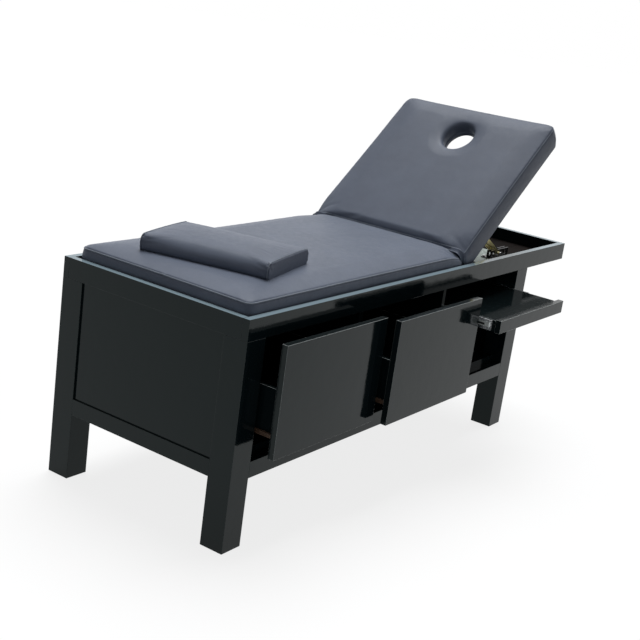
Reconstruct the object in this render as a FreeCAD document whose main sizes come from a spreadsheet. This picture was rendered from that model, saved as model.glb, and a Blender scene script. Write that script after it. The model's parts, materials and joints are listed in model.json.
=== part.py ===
import FreeCAD
import Part
import Sketcher
import math
import os
import re

# Spa bed with a cabinet base: a lacquered frame on four legs, two drawers and a pull-out tray below,
# and above them a seat pad, a backrest that tilts on a prop stay, and a loose pillow.
#
# The bed is measured from its foot end (x), its front face (y, towards the back) and the floor (z).
# The frame's origin is on the floor, at the middle of the box that the bed fills as it stands.

SIZES = {
    # Cabinet frame
    "base_length": 1960, "base_width": 700, "rim_top": 681, "rim_height": 62, "rim_board": 22,
    "head_overhang": 304, "leg_side": 80, "rail_bottom": 208, "rail_height": 50, "rail_depth": 60,
    "floor_setback": 40, "floor_thickness": 20, "deck_thickness": 15, "panel_thickness": 12,
    "panel_recess": 6, "partition_thickness": 18, "edge_round": 1, "board_round": 0.8,
    # Drawers and tray
    "front_thickness": 20, "front_gap": 2, "front_lift": 28, "front_setback": 1,
    "drawer_board": 12, "drawer_floor": 6, "drawer_floor_lift": 8, "box_height": 142, "box_lift": 56,
    "box_depth": 450, "drawer_one_pull": 74, "drawer_two_pull": 121, "tray_pull": 197,
    "lip_bottom": 512, "lip_rise": 6, "tray_board": 15, "tray_rail_width": 18,
    "tray_rail_height": 23, "tray_depth": 450,
    # Roller slides of the drawers
    "slide_gap": 12.5, "slide_length": 450, "slide_wall": 1.2, "channel_height": 24, "channel_depth": 9.5,
    "channel_cutback": 26, "runner_height": 15.2, "runner_shelf": 12, "runner_reach": 8.3,
    "rear_roller_radius": 10.4, "front_roller_radius": 10, "roller_width": 6.5, "roller_inset": 12,
    "axle_radius": 2, "axle_clearance": 0.05, "roll_clearance": 0.2,
    # Ball slides of the tray
    "ball_gap": 12.7, "ball_height": 42, "ball_depth": 11, "ball_clearance": 0.8, "ball_setback": 17,
    # Seat, backrest and pillow
    "pad_gap": 4, "pad_skirt": 10, "pad_seam": 78, "pad_crown": 18, "pad_corner": 24,
    "frame_corner": 28, "pad_draw_in": 3,
    "pad_tuck": 5, "pad_past_fold": 240, "batten_height": 36, "batten_width": 40, "ply_thickness": 9,
    "leaf_room": 2.5, "hinge_from_head": 767, "hinge_rise": 3, "rest_gap": 0.5, "fold_gap": 6,
    "back_length": 716, "back_tilt": 37.5, "back_tilt_limit": 45,
    "hole_place": 548, "hole_length": 138, "hole_width": 108, "hole_flare": 16,
    "pillow_length": 416, "pillow_width": 280, "pillow_height": 50, "pillow_crown": 10,
    "pillow_corner": 16, "pillow_x": 293, "pillow_y": 344, "pillow_turn": 13, "rest_clearance": 0.3,
    # Hinges
    "leaf_length": 90, "leaf_reach": 44, "leaf_thickness": 2, "knuckle_radius": 4, "knuckle_share": 0.3,
    "hinge_pin_radius": 2, "knuckle_clearance": 0.3, "hinge_inset": 150,
    # Prop stays
    "stay_inset": 118, "prop_anchor": 205, "prop_length": 270, "prop_pin_height": 20, "arm_width": 14,
    "arm_thickness": 3, "arm_spacing": 14, "pin_radius": 4, "pin_clearance": 0.05, "nut_width": 13,
    "nut_thickness": 6, "plate_thickness": 2, "rack_plate": 4, "rack_height": 32,
    "slot_drop": 4.5, "slot_play": 1, "slot_end": 8, "rack_end": 12,
    "rack_foot": 26, "rack_foot_thickness": 3, "notch_radius": 5, "notch_pitch": 22, "base_plate_margin": 10,
    "base_plate_reach": 90, "base_plate_width": 140, "base_plate_edge": 40,
    "cheek_length": 30, "cheek_play": 0.5,
    "bolt_radius": 3, "bolt_head_radius": 5, "bolt_head_height": 4, "bolt_edge": 1,
    # One overrun serves all cuts that pass right through
    "overrun": 5,
}

doc = FreeCAD.newDocument("SpaBed")
sheet = doc.addObject("Spreadsheet::Sheet", "Sizes")
for row, (word, number) in enumerate(SIZES.items(), 1):
    sheet.set(f"A{row}", word)
    sheet.set(f"B{row}", str(number))
    sheet.setAlias(f"B{row}", word)
doc.recompute()


class Values:
    """The sheet's cells as plain numbers, for places and for shapes that are lofted."""

    def __getattr__(self, word):
        return float(sheet.get(word))


v = Values()
parts = []

# Places that follow from the driving sizes
MID_X = v.base_length / 2
MID_Y = (v.base_width - v.tray_pull) / 2
HINGE_X = v.base_length - v.hinge_from_head
HEAD_FACE = v.base_length - v.head_overhang
BAY = (HEAD_FACE - 2 * v.leg_side - 2 * v.partition_thickness) / 3
RAIL_TOP = v.rail_bottom + v.rail_height
RIM_BOTTOM = v.rim_top - v.rim_height
DECK_TOP = RIM_BOTTOM + v.deck_thickness
FLOOR_TOP = RAIL_TOP + v.floor_thickness
FRONT_BOTTOM = RAIL_TOP + v.front_lift
BOX_BOTTOM = FRONT_BOTTOM + v.box_lift
BAY_LEFT = [v.leg_side + n * (BAY + v.partition_thickness) for n in range(3)]
PARTITION_FRONT = v.front_thickness + v.front_setback
FRAME_TOP = v.batten_height + v.ply_thickness
HINGE_HEIGHT = FRAME_TOP + v.hinge_rise
HINGE_Z = DECK_TOP + HINGE_HEIGHT + v.rest_gap
PAD_EDGE = v.rim_board + v.pad_gap
PAD_WIDTH = v.base_width - 2 * PAD_EDGE
FRAME_EDGE = PAD_EDGE + v.pad_skirt

# Expressions that several pieces share
BAY_WORDS = "(base_length - head_overhang - 2 * leg_side - 2 * partition_thickness) / 3"
PAD_WIDTH_WORDS = "(base_width - 2 * rim_board - 2 * pad_gap)"
DROP_WORDS = "(batten_height + ply_thickness + hinge_rise - prop_pin_height)"
LIMIT_X_WORDS = f"(prop_anchor * cos(back_tilt_limit) + {DROP_WORDS} * sin(back_tilt_limit))"
LIMIT_Z_WORDS = f"(prop_anchor * sin(back_tilt_limit) + {DROP_WORDS} * (1 - cos(back_tilt_limit)))"
LIMIT_FOOT_WORDS = f"({LIMIT_X_WORDS} + sqrt(prop_length ^ 2 - {LIMIT_Z_WORDS} ^ 2))"
SLOT_WORDS = f"(prop_anchor + prop_length - {LIMIT_FOOT_WORDS} + 2 * pin_radius + 2 * slot_end)"


def bind(thing, prop, words):
    """Binds a property to an expression in which every word but a function is a cell of the sheet."""
    cells = re.sub(r"[a-z][a-z_]*(?![a-z_(])", lambda found: "Sizes." + found.group(), words)
    thing.setExpression(prop, cells)


def shift(x, y, z):
    """A place measured from the foot end, the front face and the floor."""
    return FreeCAD.Placement(FreeCAD.Vector(x - MID_X, y - MID_Y, z), FreeCAD.Rotation())


def turned(x, y, z, degrees):
    """The same place, with the local +X lifted by some degrees."""
    tilt = FreeCAD.Rotation(FreeCAD.Vector(0, 1, 0), -degrees)
    return FreeCAD.Placement(FreeCAD.Vector(x - MID_X, y - MID_Y, z), tilt)


def local(x, y, z):
    return FreeCAD.Placement(FreeCAD.Vector(x, y, z), FreeCAD.Rotation())


BACK = turned(HINGE_X, 0, HINGE_Z, v.back_tilt)
PIVOT_DROP = HINGE_HEIGHT - v.prop_pin_height
FOOT_Z = HINGE_Z - PIVOT_DROP


def pivot(degrees):
    """Where the stay's upper pin is while the backrest is raised by some degrees."""
    tilt = math.radians(degrees)
    return (HINGE_X + v.prop_anchor * math.cos(tilt) + PIVOT_DROP * math.sin(tilt),
            HINGE_Z + v.prop_anchor * math.sin(tilt) - PIVOT_DROP * math.cos(tilt))


def foot_x(degrees):
    """Where the stay's foot pin then stands in its slot."""
    x, z = pivot(degrees)
    return x + math.sqrt(v.prop_length ** 2 - (z - FOOT_Z) ** 2)


PIVOT_X, PIVOT_Z = pivot(v.back_tilt)
PROP = turned(PIVOT_X, 0, PIVOT_Z, -math.degrees(math.asin((PIVOT_Z - FOOT_Z) / v.prop_length)))
SLOT_START = foot_x(v.back_tilt_limit) - v.pin_radius - v.slot_end
SLOT_LENGTH = foot_x(0) + v.pin_radius + v.slot_end - SLOT_START


def keep(thing, label):
    thing.Label = label
    parts.append(thing)
    return thing


def board(label, size, place, rounding="edge_round"):
    """A wooden board of its own, its edges rounded."""
    return keep(plank(label, size, place, rounding), label)


def plank(label, size, place, rounding, uprights=()):
    """A padded rectangle. All its edges are rounded, or only the upright ones at some of its corners."""
    body = doc.addObject("PartDesign::Body", label)
    sketch = body.newObject("Sketcher::SketchObject", label + "_outline")
    plane = next(f for f in body.Origin.OriginFeatures if f.Role == "XY_Plane")
    sketch.AttachmentSupport = [(plane, "")]
    sketch.MapMode = "FlatFace"
    corners = [(0, 0), (1, 0), (1, 1), (0, 1)]
    for n in range(4):
        start, end = corners[n], corners[(n + 1) % 4]
        line = Part.LineSegment(FreeCAD.Vector(*start, 0), FreeCAD.Vector(*end, 0))
        sketch.addGeometry(line, False)
    for n in range(4):
        sketch.addConstraint(Sketcher.Constraint("Coincident", n, 2, (n + 1) % 4, 1))
    for n, kind in enumerate(("Horizontal", "Vertical", "Horizontal", "Vertical")):
        sketch.addConstraint(Sketcher.Constraint(kind, n))
    sketch.addConstraint(Sketcher.Constraint("Coincident", 0, 1, -1, 1))
    across = sketch.addConstraint(Sketcher.Constraint("DistanceX", 0, 1, 0, 2, 1.0))
    along = sketch.addConstraint(Sketcher.Constraint("DistanceY", 1, 1, 1, 2, 1.0))
    bind(sketch, f"Constraints[{across}]", size[0])
    bind(sketch, f"Constraints[{along}]", size[1])
    pad = body.newObject("PartDesign::Pad", label + "_pad")
    pad.Profile = sketch
    bind(pad, "Length", size[2])
    doc.recompute()
    if rounding:
        fillet = body.newObject("PartDesign::Fillet", label + "_edges")
        fillet.Base = (pad, [f"Edge{n + 1}" for n, edge in enumerate(pad.Shape.Edges)
                             if not uprights or upright_at(edge, pad.Shape.BoundBox) in uprights])
        bind(fillet, "Radius", rounding)
        body.Tip = fillet
    body.Placement = place
    return body


def upright_at(edge, around):
    """Which corner of its board an upright edge stands at, as a pair of 0 or 1, or None for a level edge."""
    ends = [(round((p.X - around.XMin) / around.XLength), round((p.Y - around.YMin) / around.YLength))
            for p in edge.Vertexes]
    return ends[0] if ends[0] == ends[1] else None


def box(name, size, place):
    thing = doc.addObject("Part::Box", name)
    for prop, words in zip(("Length", "Width", "Height"), size):
        bind(thing, prop, words)
    thing.Placement = place
    return thing


def rod(name, radius, length, place, axis="z"):
    """A cylinder from its place along one of the local axes."""
    thing = doc.addObject("Part::Cylinder", name)
    bind(thing, "Radius", radius)
    bind(thing, "Height", length)
    x, y, z = (FreeCAD.Vector(*unit) for unit in ((1, 0, 0), (0, 1, 0), (0, 0, 1)))
    turns = {"x": (y, 90), "y": (x, -90), "z": (z, 0)}
    thing.Placement = place.multiply(FreeCAD.Placement(FreeCAD.Vector(), FreeCAD.Rotation(*turns[axis])))
    return thing


def cut(name, base, tools):
    """The base less every tool."""
    tool = tools[0]
    if len(tools) > 1:
        tool = doc.addObject("Part::MultiFuse", name + "_tools")
        tool.Shapes = tools
    thing = doc.addObject("Part::Cut", name)
    thing.Base = base
    thing.Tool = tool
    return thing


def fuse(name, pieces):
    thing = doc.addObject("Part::MultiFuse", name)
    thing.Shapes = pieces
    return thing


def group(label, pieces):
    """Like pieces that share one node, each still a solid of its own."""
    thing = doc.addObject("Part::Compound", label)
    thing.Links = pieces
    return keep(thing, label)


def feature(label, shape, place):
    thing = doc.addObject("Part::Feature", label)
    thing.Shape = shape
    thing.Placement = place
    return keep(thing, label)


# Frame

def legs():
    back = v.base_width - v.leg_side
    head = HEAD_FACE - v.leg_side
    places = {"leg_foot_front": (0, 0), "leg_foot_back": (0, back),
              "leg_head_front": (head, 0), "leg_head_back": (head, back)}
    for label, (x, y) in places.items():
        board(label, ("leg_side", "leg_side", "rim_top - rim_height"), shift(x, y, 0))


def rims():
    """Two long boards with the two ends between them, on top of the legs."""
    inner = "base_width - 2 * rim_board"
    far = v.base_width - v.rim_board
    board("rim_front", ("base_length", "rim_board", "rim_height"), shift(0, 0, RIM_BOTTOM))
    board("rim_back", ("base_length", "rim_board", "rim_height"), shift(0, far, RIM_BOTTOM))
    board("rim_foot", ("rim_board", inner, "rim_height"), shift(0, v.rim_board, RIM_BOTTOM))
    head = v.base_length - v.rim_board
    board("rim_head", ("rim_board", inner, "rim_height"), shift(head, v.rim_board, RIM_BOTTOM))


def lower_rails():
    long = "base_length - head_overhang - 2 * leg_side"
    short = "base_width - 2 * leg_side"
    low = v.rail_bottom
    back = v.base_width - v.rail_depth
    head = HEAD_FACE - v.rail_depth
    board("lower_rail_front", (long, "rail_depth", "rail_height"), shift(v.leg_side, 0, low))
    board("lower_rail_back", (long, "rail_depth", "rail_height"), shift(v.leg_side, back, low))
    board("lower_rail_foot", ("rail_depth", short, "rail_height"), shift(0, v.leg_side, low))
    board("lower_rail_head", ("rail_depth", short, "rail_height"), shift(head, v.leg_side, low))


def panels():
    """Panels let in between the legs, a little behind their faces."""
    tall = "rim_top - rim_height - rail_bottom - rail_height"
    short = "base_width - 2 * leg_side"
    long = "base_length - head_overhang - 2 * leg_side"
    behind = v.panel_recess + v.panel_thickness
    head = HEAD_FACE - behind
    back = v.base_width - behind
    across = ("panel_thickness", short, tall)
    board("foot_end_panel", across, shift(v.panel_recess, v.leg_side, RAIL_TOP), None)
    board("head_end_panel", across, shift(head, v.leg_side, RAIL_TOP), None)
    board("back_panel", (long, "panel_thickness", tall), shift(v.leg_side, back, RAIL_TOP), None)


def cabinet_boards():
    behind = v.panel_recess + v.panel_thickness
    plain = box("floor_blank", (
        "base_length - head_overhang - 2 * panel_recess - 2 * panel_thickness",
        "base_width - floor_setback - panel_recess - panel_thickness", "floor_thickness"),
        shift(behind, v.floor_setback, RAIL_TOP))
    notches = []
    for x in (0, HEAD_FACE - v.leg_side):
        for y in (0, v.base_width - v.leg_side):
            notches.append(box(f"floor_notch_{len(notches) + 1}", ("leg_side", "leg_side", "floor_thickness"),
                               shift(x, y, RAIL_TOP)))
    keep(cut("floor_board", plain, notches), "floor_board")
    board("deck_board", ("base_length - 2 * rim_board", "base_width - 2 * rim_board", "deck_thickness"),
          shift(v.rim_board, v.rim_board, RIM_BOTTOM), None)
    deep = "base_width - panel_recess - panel_thickness - front_thickness - front_setback"
    tall = "rim_top - rim_height - rail_bottom - rail_height - floor_thickness"
    for n in (1, 2):
        x = BAY_LEFT[n] - v.partition_thickness
        board(f"partition_{n}", ("partition_thickness", deep, tall), shift(x, PARTITION_FRONT, FLOOR_TOP),
              "board_round")


def slide_battens():
    """Battens between the legs that carry the outer slides, flush with the legs' inner faces."""
    behind = v.panel_recess + v.panel_thickness
    size = ("leg_side - panel_recess - panel_thickness", "base_width - 2 * leg_side", "ball_height")
    tray_middle = v.lip_bottom + (v.tray_board + v.tray_rail_height) / 2
    half = v.ball_height / 2
    foot = box("foot_batten", size, shift(behind, v.leg_side, BOX_BOTTOM - half))
    head = box("head_batten", size, shift(HEAD_FACE - v.leg_side, v.leg_side, tray_middle - half))
    group("slide_battens", [foot, head])


# Drawers

def drawer(n, pull):
    """One drawer, standing out by its pull. The fronts lap the partitions by half."""
    name = f"drawer_{n}"
    left = BAY_LEFT[n - 1]
    lap = "partition_thickness / 2"
    if n == 1:
        start = v.leg_side + v.front_gap
        wide = f"{BAY_WORDS} + {lap} - 1.5 * front_gap"
    else:
        start = left - v.partition_thickness / 2 + v.front_gap / 2
        wide = f"{BAY_WORDS} + 2 * {lap} - front_gap"
    tall = "rim_top - rim_height - front_gap - rail_bottom - rail_height - front_lift"
    board(name + "_front", (wide, "front_thickness", tall), shift(start, -pull, FRONT_BOTTOM), "board_round")
    back_of_front = v.front_thickness - pull
    x = left + v.slide_gap
    far = left + BAY - v.slide_gap - v.drawer_board
    for side, at in (("left", x), ("right", far)):
        board(f"{name}_side_{side}", ("drawer_board", "box_depth", "box_height"),
              shift(at, back_of_front, BOX_BOTTOM), "board_round")
    inner = f"{BAY_WORDS} - 2 * slide_gap - 2 * drawer_board"
    board(name + "_back", (inner, "drawer_board", "box_height"),
          shift(x + v.drawer_board, back_of_front + v.box_depth - v.drawer_board, BOX_BOTTOM), "board_round")
    board(name + "_bottom", (inner, "box_depth - drawer_board", "drawer_floor"),
          shift(x + v.drawer_board, back_of_front, BOX_BOTTOM + v.drawer_floor_lift), None)
    runners(name, left, back_of_front)


def sided(left, across, width):
    """Where a piece of a slide starts in x, on the left wall of a bay and mirrored on the right."""
    return (left + across, left + BAY - across - width)


def slide_channels():
    """The cabinet members of the drawers' roller slides, each with its front roller's axle."""
    made = []
    for n in (1, 2):
        left = BAY_LEFT[n - 1]
        low = BOX_BOTTOM - v.channel_height / 2
        roller_z = BOX_BOTTOM + v.runner_height - 2 * v.slide_wall - v.roll_clearance
        roller_z -= v.front_roller_radius
        for side in (0, 1):
            tag = f"channel_{n}_{side + 1}"
            x = sided(left, 0, v.channel_depth)[side]
            hollow_x = sided(left, v.slide_wall, v.channel_depth)[side]
            before = PARTITION_FRONT - v.overrun
            blank = box(tag + "_blank", ("channel_depth", "slide_length", "channel_height"),
                        shift(x, PARTITION_FRONT, low))
            hollow_size = ("channel_depth", "slide_length + 2 * overrun", "channel_height - 2 * slide_wall")
            hollow = box(tag + "_hollow", hollow_size, shift(hollow_x, before, low + v.slide_wall))
            relief_size = ("channel_depth", "channel_cutback + overrun", "channel_height + 2 * overrun")
            relief = box(tag + "_relief", relief_size, shift(hollow_x, before, low - v.overrun))
            reach = v.slide_wall + v.roller_width + v.slide_wall
            axle = rod(tag + "_axle", "axle_radius", "2 * slide_wall + roller_width",
                       shift(sided(left, 0, reach)[side], PARTITION_FRONT + v.roller_inset, roller_z), "x")
            made.append(fuse(tag, [cut(tag + "_section", blank, [hollow, relief]), axle]))
        roller_y = PARTITION_FRONT + v.roller_inset
        rollers(f"drawer_{n}_front_rollers", left, roller_y, roller_z, "front_roller_radius")
    group("drawer_slide_channels", made)


def rollers(label, left, y, z, radius):
    made = []
    for side in (0, 1):
        x = sided(left, 2 * v.slide_wall, v.roller_width)[side]
        tag = f"{label}_{side + 1}"
        wheel = rod(tag + "_wheel", radius, "roller_width", shift(x, y, z), "x")
        bore = rod(tag + "_bore", "axle_radius + axle_clearance", "roller_width + 2 * overrun",
                   shift(x - v.overrun, y, z), "x")
        made.append(cut(tag, wheel, [bore]))
    group(label, made)


def runners(name, left, start):
    """The drawer's own members: a shelf under the side, a web beside it and a lip that rides the roller."""
    made = []
    rear = start + v.box_depth - v.roller_inset
    web_x = v.slide_gap - v.slide_wall
    low = BOX_BOTTOM - v.slide_wall
    for side in (0, 1):
        tag = f"{name}_runner_{side + 1}"
        web = box(tag + "_web", ("slide_wall", "box_depth", "runner_height"),
                  shift(sided(left, web_x, v.slide_wall)[side], start, low))
        shelf = box(tag + "_shelf", ("runner_shelf", "box_depth", "slide_wall"),
                    shift(sided(left, web_x, v.runner_shelf)[side], start, low))
        lip = box(tag + "_lip", ("runner_reach", "box_depth", "slide_wall"),
                  shift(sided(left, web_x - v.runner_reach, v.runner_reach)[side], start,
                        low + v.runner_height - v.slide_wall))
        reach = v.slide_gap - v.slide_wall - 2 * v.slide_wall
        axle = rod(tag + "_axle", "axle_radius", "slide_gap - 3 * slide_wall",
                   shift(sided(left, 2 * v.slide_wall, reach)[side], rear, BOX_BOTTOM), "x")
        made.append(fuse(tag, [web, shelf, lip, axle]))
    group(name + "_runners", made)
    rollers(name + "_rear_rollers", left, rear, BOX_BOTTOM, "rear_roller_radius")


# Tray

def tray():
    left = BAY_LEFT[2]
    x = left + v.ball_gap
    start = v.front_thickness - v.tray_pull
    tall = "tray_rail_height + tray_board + lip_rise"
    board("tray_lip", (f"{BAY_WORDS} - 2 * front_gap", "front_thickness", tall),
          shift(left + v.front_gap, -v.tray_pull, v.lip_bottom), "board_round")
    wide = f"{BAY_WORDS} - 2 * ball_gap"
    board("tray_board", (wide, "tray_depth", "tray_board"),
          shift(x, start, v.lip_bottom + v.tray_rail_height), "board_round")
    far = left + BAY - v.ball_gap - v.tray_rail_width
    for side, at in (("left", x), ("right", far)):
        board(f"tray_rail_{side}", ("tray_rail_width", "tray_depth", "tray_rail_height"),
              shift(at, start, v.lip_bottom), None)
    ball_slides(left)


def ball_slides(left):
    """Three nested channels a side: fixed to the cabinet, half way, and fixed to the tray."""
    middle_z = v.lip_bottom + (v.tray_board + v.tray_rail_height) / 2
    closed = v.front_thickness + v.ball_setback
    web_gap = v.slide_wall + v.ball_clearance
    nested_depth = v.ball_depth - web_gap
    nested_words = "ball_depth - slide_wall - ball_clearance"
    # For each member: how far out it stands, its depth, how often it is nested, its place and its open side
    members = {
        "tray_slide_outers": (0, v.ball_depth, "ball_depth", 0, 0, False),
        "tray_slide_middles": (v.tray_pull / 2, nested_depth, nested_words, 1, web_gap, False),
        "tray_slide_inners": (v.tray_pull, nested_depth, nested_words, 2, v.ball_gap - nested_depth, True),
    }
    for label, (out, depth, depth_words, nested, across, faces_wall) in members.items():
        height = v.ball_height - 2 * nested * web_gap
        height_words = f"ball_height - {2 * nested} * (slide_wall + ball_clearance)"
        made = []
        for side in (0, 1):
            tag = f"{label}_{side + 1}"
            x = sided(left, across, depth)[side]
            hollow_across = across - v.slide_wall if faces_wall else across + v.slide_wall
            blank = box(tag + "_blank", (depth_words, "slide_length", height_words),
                        shift(x, closed - out, middle_z - height / 2))
            hollow_size = (depth_words, "slide_length + 2 * overrun", f"{height_words} - 2 * slide_wall")
            hollow = box(tag + "_hollow", hollow_size,
                         shift(sided(left, hollow_across, depth)[side], closed - out - v.overrun,
                               middle_z - height / 2 + v.slide_wall))
            made.append(cut(tag, blank, [hollow]))
        group(label, made)


# Upholstery

def outline(length, width, inset, z, corner, draw):
    """A closed wire round a pad: each side an arc drawn in at its middle, each corner a quarter arc."""
    x0, y0, x1, y1 = inset, inset, length - inset, width - inset
    r = corner
    mid = r * (1 - math.sqrt(0.5))

    def at(x, y):
        return FreeCAD.Vector(x, y, z)

    arcs = [
        (at(x0 + r, y0), at((x0 + x1) / 2, y0 + draw), at(x1 - r, y0)),
        (at(x1 - r, y0), at(x1 - mid, y0 + mid), at(x1, y0 + r)),
        (at(x1, y0 + r), at(x1 - draw, (y0 + y1) / 2), at(x1, y1 - r)),
        (at(x1, y1 - r), at(x1 - mid, y1 - mid), at(x1 - r, y1)),
        (at(x1 - r, y1), at((x0 + x1) / 2, y1 - draw), at(x0 + r, y1)),
        (at(x0 + r, y1), at(x0 + mid, y1 - mid), at(x0, y1 - r)),
        (at(x0, y1 - r), at(x0 + draw, (y0 + y1) / 2), at(x0, y0 + r)),
        (at(x0, y0 + r), at(x0 + mid, y0 + mid), at(x0 + r, y0)),
    ]
    return Part.Wire([Part.Arc(*three).toShape() for three in arcs])


def crowned(length, width, seam, crown, corner, draw, tuck):
    """A pad with a drawn-in border up to the seam and a crowned top above it."""
    # Shares of the crown's rise, and of the pad's width that the top has come in by
    rise_shares = ((0.5, 0.03), (0.8, 0.09), (0.95, 0.19), (1.0, 0.3))
    border = [(0, tuck), (seam / 3, 0), (seam * 2 / 3, 0), (seam, tuck / 2)]
    wires = [outline(length, width, inset, z, corner, draw) for z, inset in border]
    for rise, share in rise_shares:
        inset = share * min(length, width)
        wires.append(outline(length, width, inset, seam + rise * crown, corner, draw))
    return Part.makeLoft(wires, True, True)


def fold_cut():
    """What is cut off a pad's end at the fold: all before x 0, leaning on above the hinge's axis, at z 0."""
    high = v.pad_seam + v.pad_crown
    lean = high * math.tan(math.radians(v.back_tilt_limit / 2))
    reach = v.pad_past_fold + v.overrun
    corners = [(-reach, -high), (0, -high), (0, 0), (lean, high), (-reach, high)]
    points = [FreeCAD.Vector(x, -v.overrun, z) for x, z in corners + corners[:1]]
    return Part.Face(Part.makePolygon(points)).extrude(FreeCAD.Vector(0, PAD_WIDTH + 2 * v.overrun, 0))


def pad(length):
    """A pad from the fold, at x 0, to its far end, with a straight section at the fold and room below."""
    whole = v.pad_past_fold + length
    solid = crowned(whole, PAD_WIDTH, v.pad_seam, v.pad_crown, v.pad_corner, v.pad_draw_in, v.pad_tuck)
    solid.translate(FreeCAD.Vector(-v.pad_past_fold, 0, 0))
    room = Part.makeBox(whole - v.pad_skirt, PAD_WIDTH - 2 * v.pad_skirt, FRAME_TOP + v.leaf_room,
                        FreeCAD.Vector(-v.pad_past_fold, v.pad_skirt, 0))
    far = [edge for edge in room.Edges if (upright_at(edge, room.BoundBox) or (0, 0))[0] == 1]
    room = room.makeFillet(v.frame_corner, far)
    fold = fold_cut()
    fold.translate(FreeCAD.Vector(0, 0, HINGE_HEIGHT))
    return solid.cut(room).cut(fold)


def seat():
    half_turn = FreeCAD.Placement(FreeCAD.Vector(), FreeCAD.Rotation(FreeCAD.Vector(0, 0, 1), 180))
    end = shift(HINGE_X - v.fold_gap, v.base_width - PAD_EDGE, DECK_TOP)
    feature("seat_cushion", pad(HINGE_X - v.fold_gap - PAD_EDGE), end.multiply(half_turn))
    edge = PAD_EDGE + v.pad_skirt
    long = "base_length - hinge_from_head - 2 * fold_gap - rim_board - pad_gap - pad_skirt"
    wide = f"{PAD_WIDTH_WORDS} - 2 * pad_skirt"
    length = HINGE_X - 2 * v.fold_gap - edge
    frame_of_battens("seat_battens", long, wide, length, shift(edge, edge, DECK_TOP), 0)
    keep(plank("seat_ply", (long, wide, "ply_thickness"), shift(edge, edge, DECK_TOP + v.batten_height),
               "frame_corner", ((0, 0), (0, 1))), "seat_ply")


def frame_of_battens(label, long, wide, length, place, far):
    """Two battens along a pad's frame and two across between them. Its corners at the far end are round."""
    width = PAD_WIDTH - 2 * v.pad_skirt
    size = (long, "batten_width", "batten_height")
    along = [plank(f"{label}_long_{k + 1}", size, place.multiply(local(0, y, 0)), "frame_corner", ((far, k),))
             for k, y in enumerate((0, width - v.batten_width))]
    across = [box(f"{label}_cross_{k}", ("batten_width", f"{wide} - 2 * batten_width", "batten_height"),
                  place.multiply(local(x, v.batten_width, 0)))
              for k, x in enumerate((0, length - v.batten_width), 1)]
    group(label, along + across)


def oval(length, width, height, place, grow=0):
    """A straight oval plug, or one that widens upwards by some amount."""
    low = Part.Ellipse(FreeCAD.Vector(), length / 2, width / 2).toShape()
    high = Part.Ellipse(FreeCAD.Vector(0, 0, height), length / 2 + grow, width / 2 + grow).toShape()
    plug = Part.makeLoft([Part.Wire(low), Part.Wire(high)], True, True)
    plug.translate(place)
    return plug


def backrest():
    """The raised pad with its face hole. Its own frame starts on the hinge's axis."""
    middle = FreeCAD.Vector(v.hole_place - v.fold_gap, PAD_WIDTH / 2, -v.overrun)
    hole = oval(v.hole_length, v.hole_width, v.pad_seam + v.pad_crown + 2 * v.overrun, middle)
    flare_depth = v.pad_crown + v.overrun
    flare = oval(v.hole_length, v.hole_width, flare_depth + v.pad_crown / 2,
                 middle + FreeCAD.Vector(0, 0, v.pad_seam + v.overrun - v.pad_crown / 2), v.hole_flare)
    solid = pad(v.back_length - v.fold_gap).cut(hole).cut(flare)
    feature("back_cushion", solid, BACK.multiply(local(v.fold_gap, PAD_EDGE, -HINGE_HEIGHT)))
    long = "back_length - 2 * fold_gap - pad_skirt"
    wide = f"{PAD_WIDTH_WORDS} - 2 * pad_skirt"
    at = BACK.multiply(local(2 * v.fold_gap, FRAME_EDGE, -HINGE_HEIGHT))
    length = v.back_length - 2 * v.fold_gap - v.pad_skirt
    frame_of_battens("back_battens", long, wide, length, at, 1)
    plain = plank("back_ply_blank", (long, wide, "ply_thickness"), at.multiply(local(0, 0, v.batten_height)),
                  "frame_corner", ((1, 0), (1, 1)))
    plug = doc.addObject("Part::Feature", "back_ply_hole")
    plug.Shape = oval(v.hole_length, v.hole_width, v.ply_thickness + 2 * v.overrun, FreeCAD.Vector())
    plug_low = v.batten_height - HINGE_HEIGHT - v.overrun
    plug.Placement = BACK.multiply(local(v.hole_place, v.base_width / 2, plug_low))
    keep(cut("back_ply", plain, [plug]), "back_ply")


def pillow():
    shape = crowned(v.pillow_width, v.pillow_length, v.pillow_height, v.pillow_crown, v.pillow_corner,
                    v.pad_draw_in, v.pad_tuck)
    turn = FreeCAD.Rotation(FreeCAD.Vector(0, 0, 1), v.pillow_turn)
    low = DECK_TOP + v.pad_seam + v.pad_crown + v.rest_clearance
    middle = FreeCAD.Placement(FreeCAD.Vector(v.pillow_x - MID_X, v.pillow_y - MID_Y, low), turn)
    feature("pillow", shape, middle.multiply(local(-v.pillow_width / 2, -v.pillow_length / 2, 0)))


# Hinges between the seat and the backrest

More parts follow.
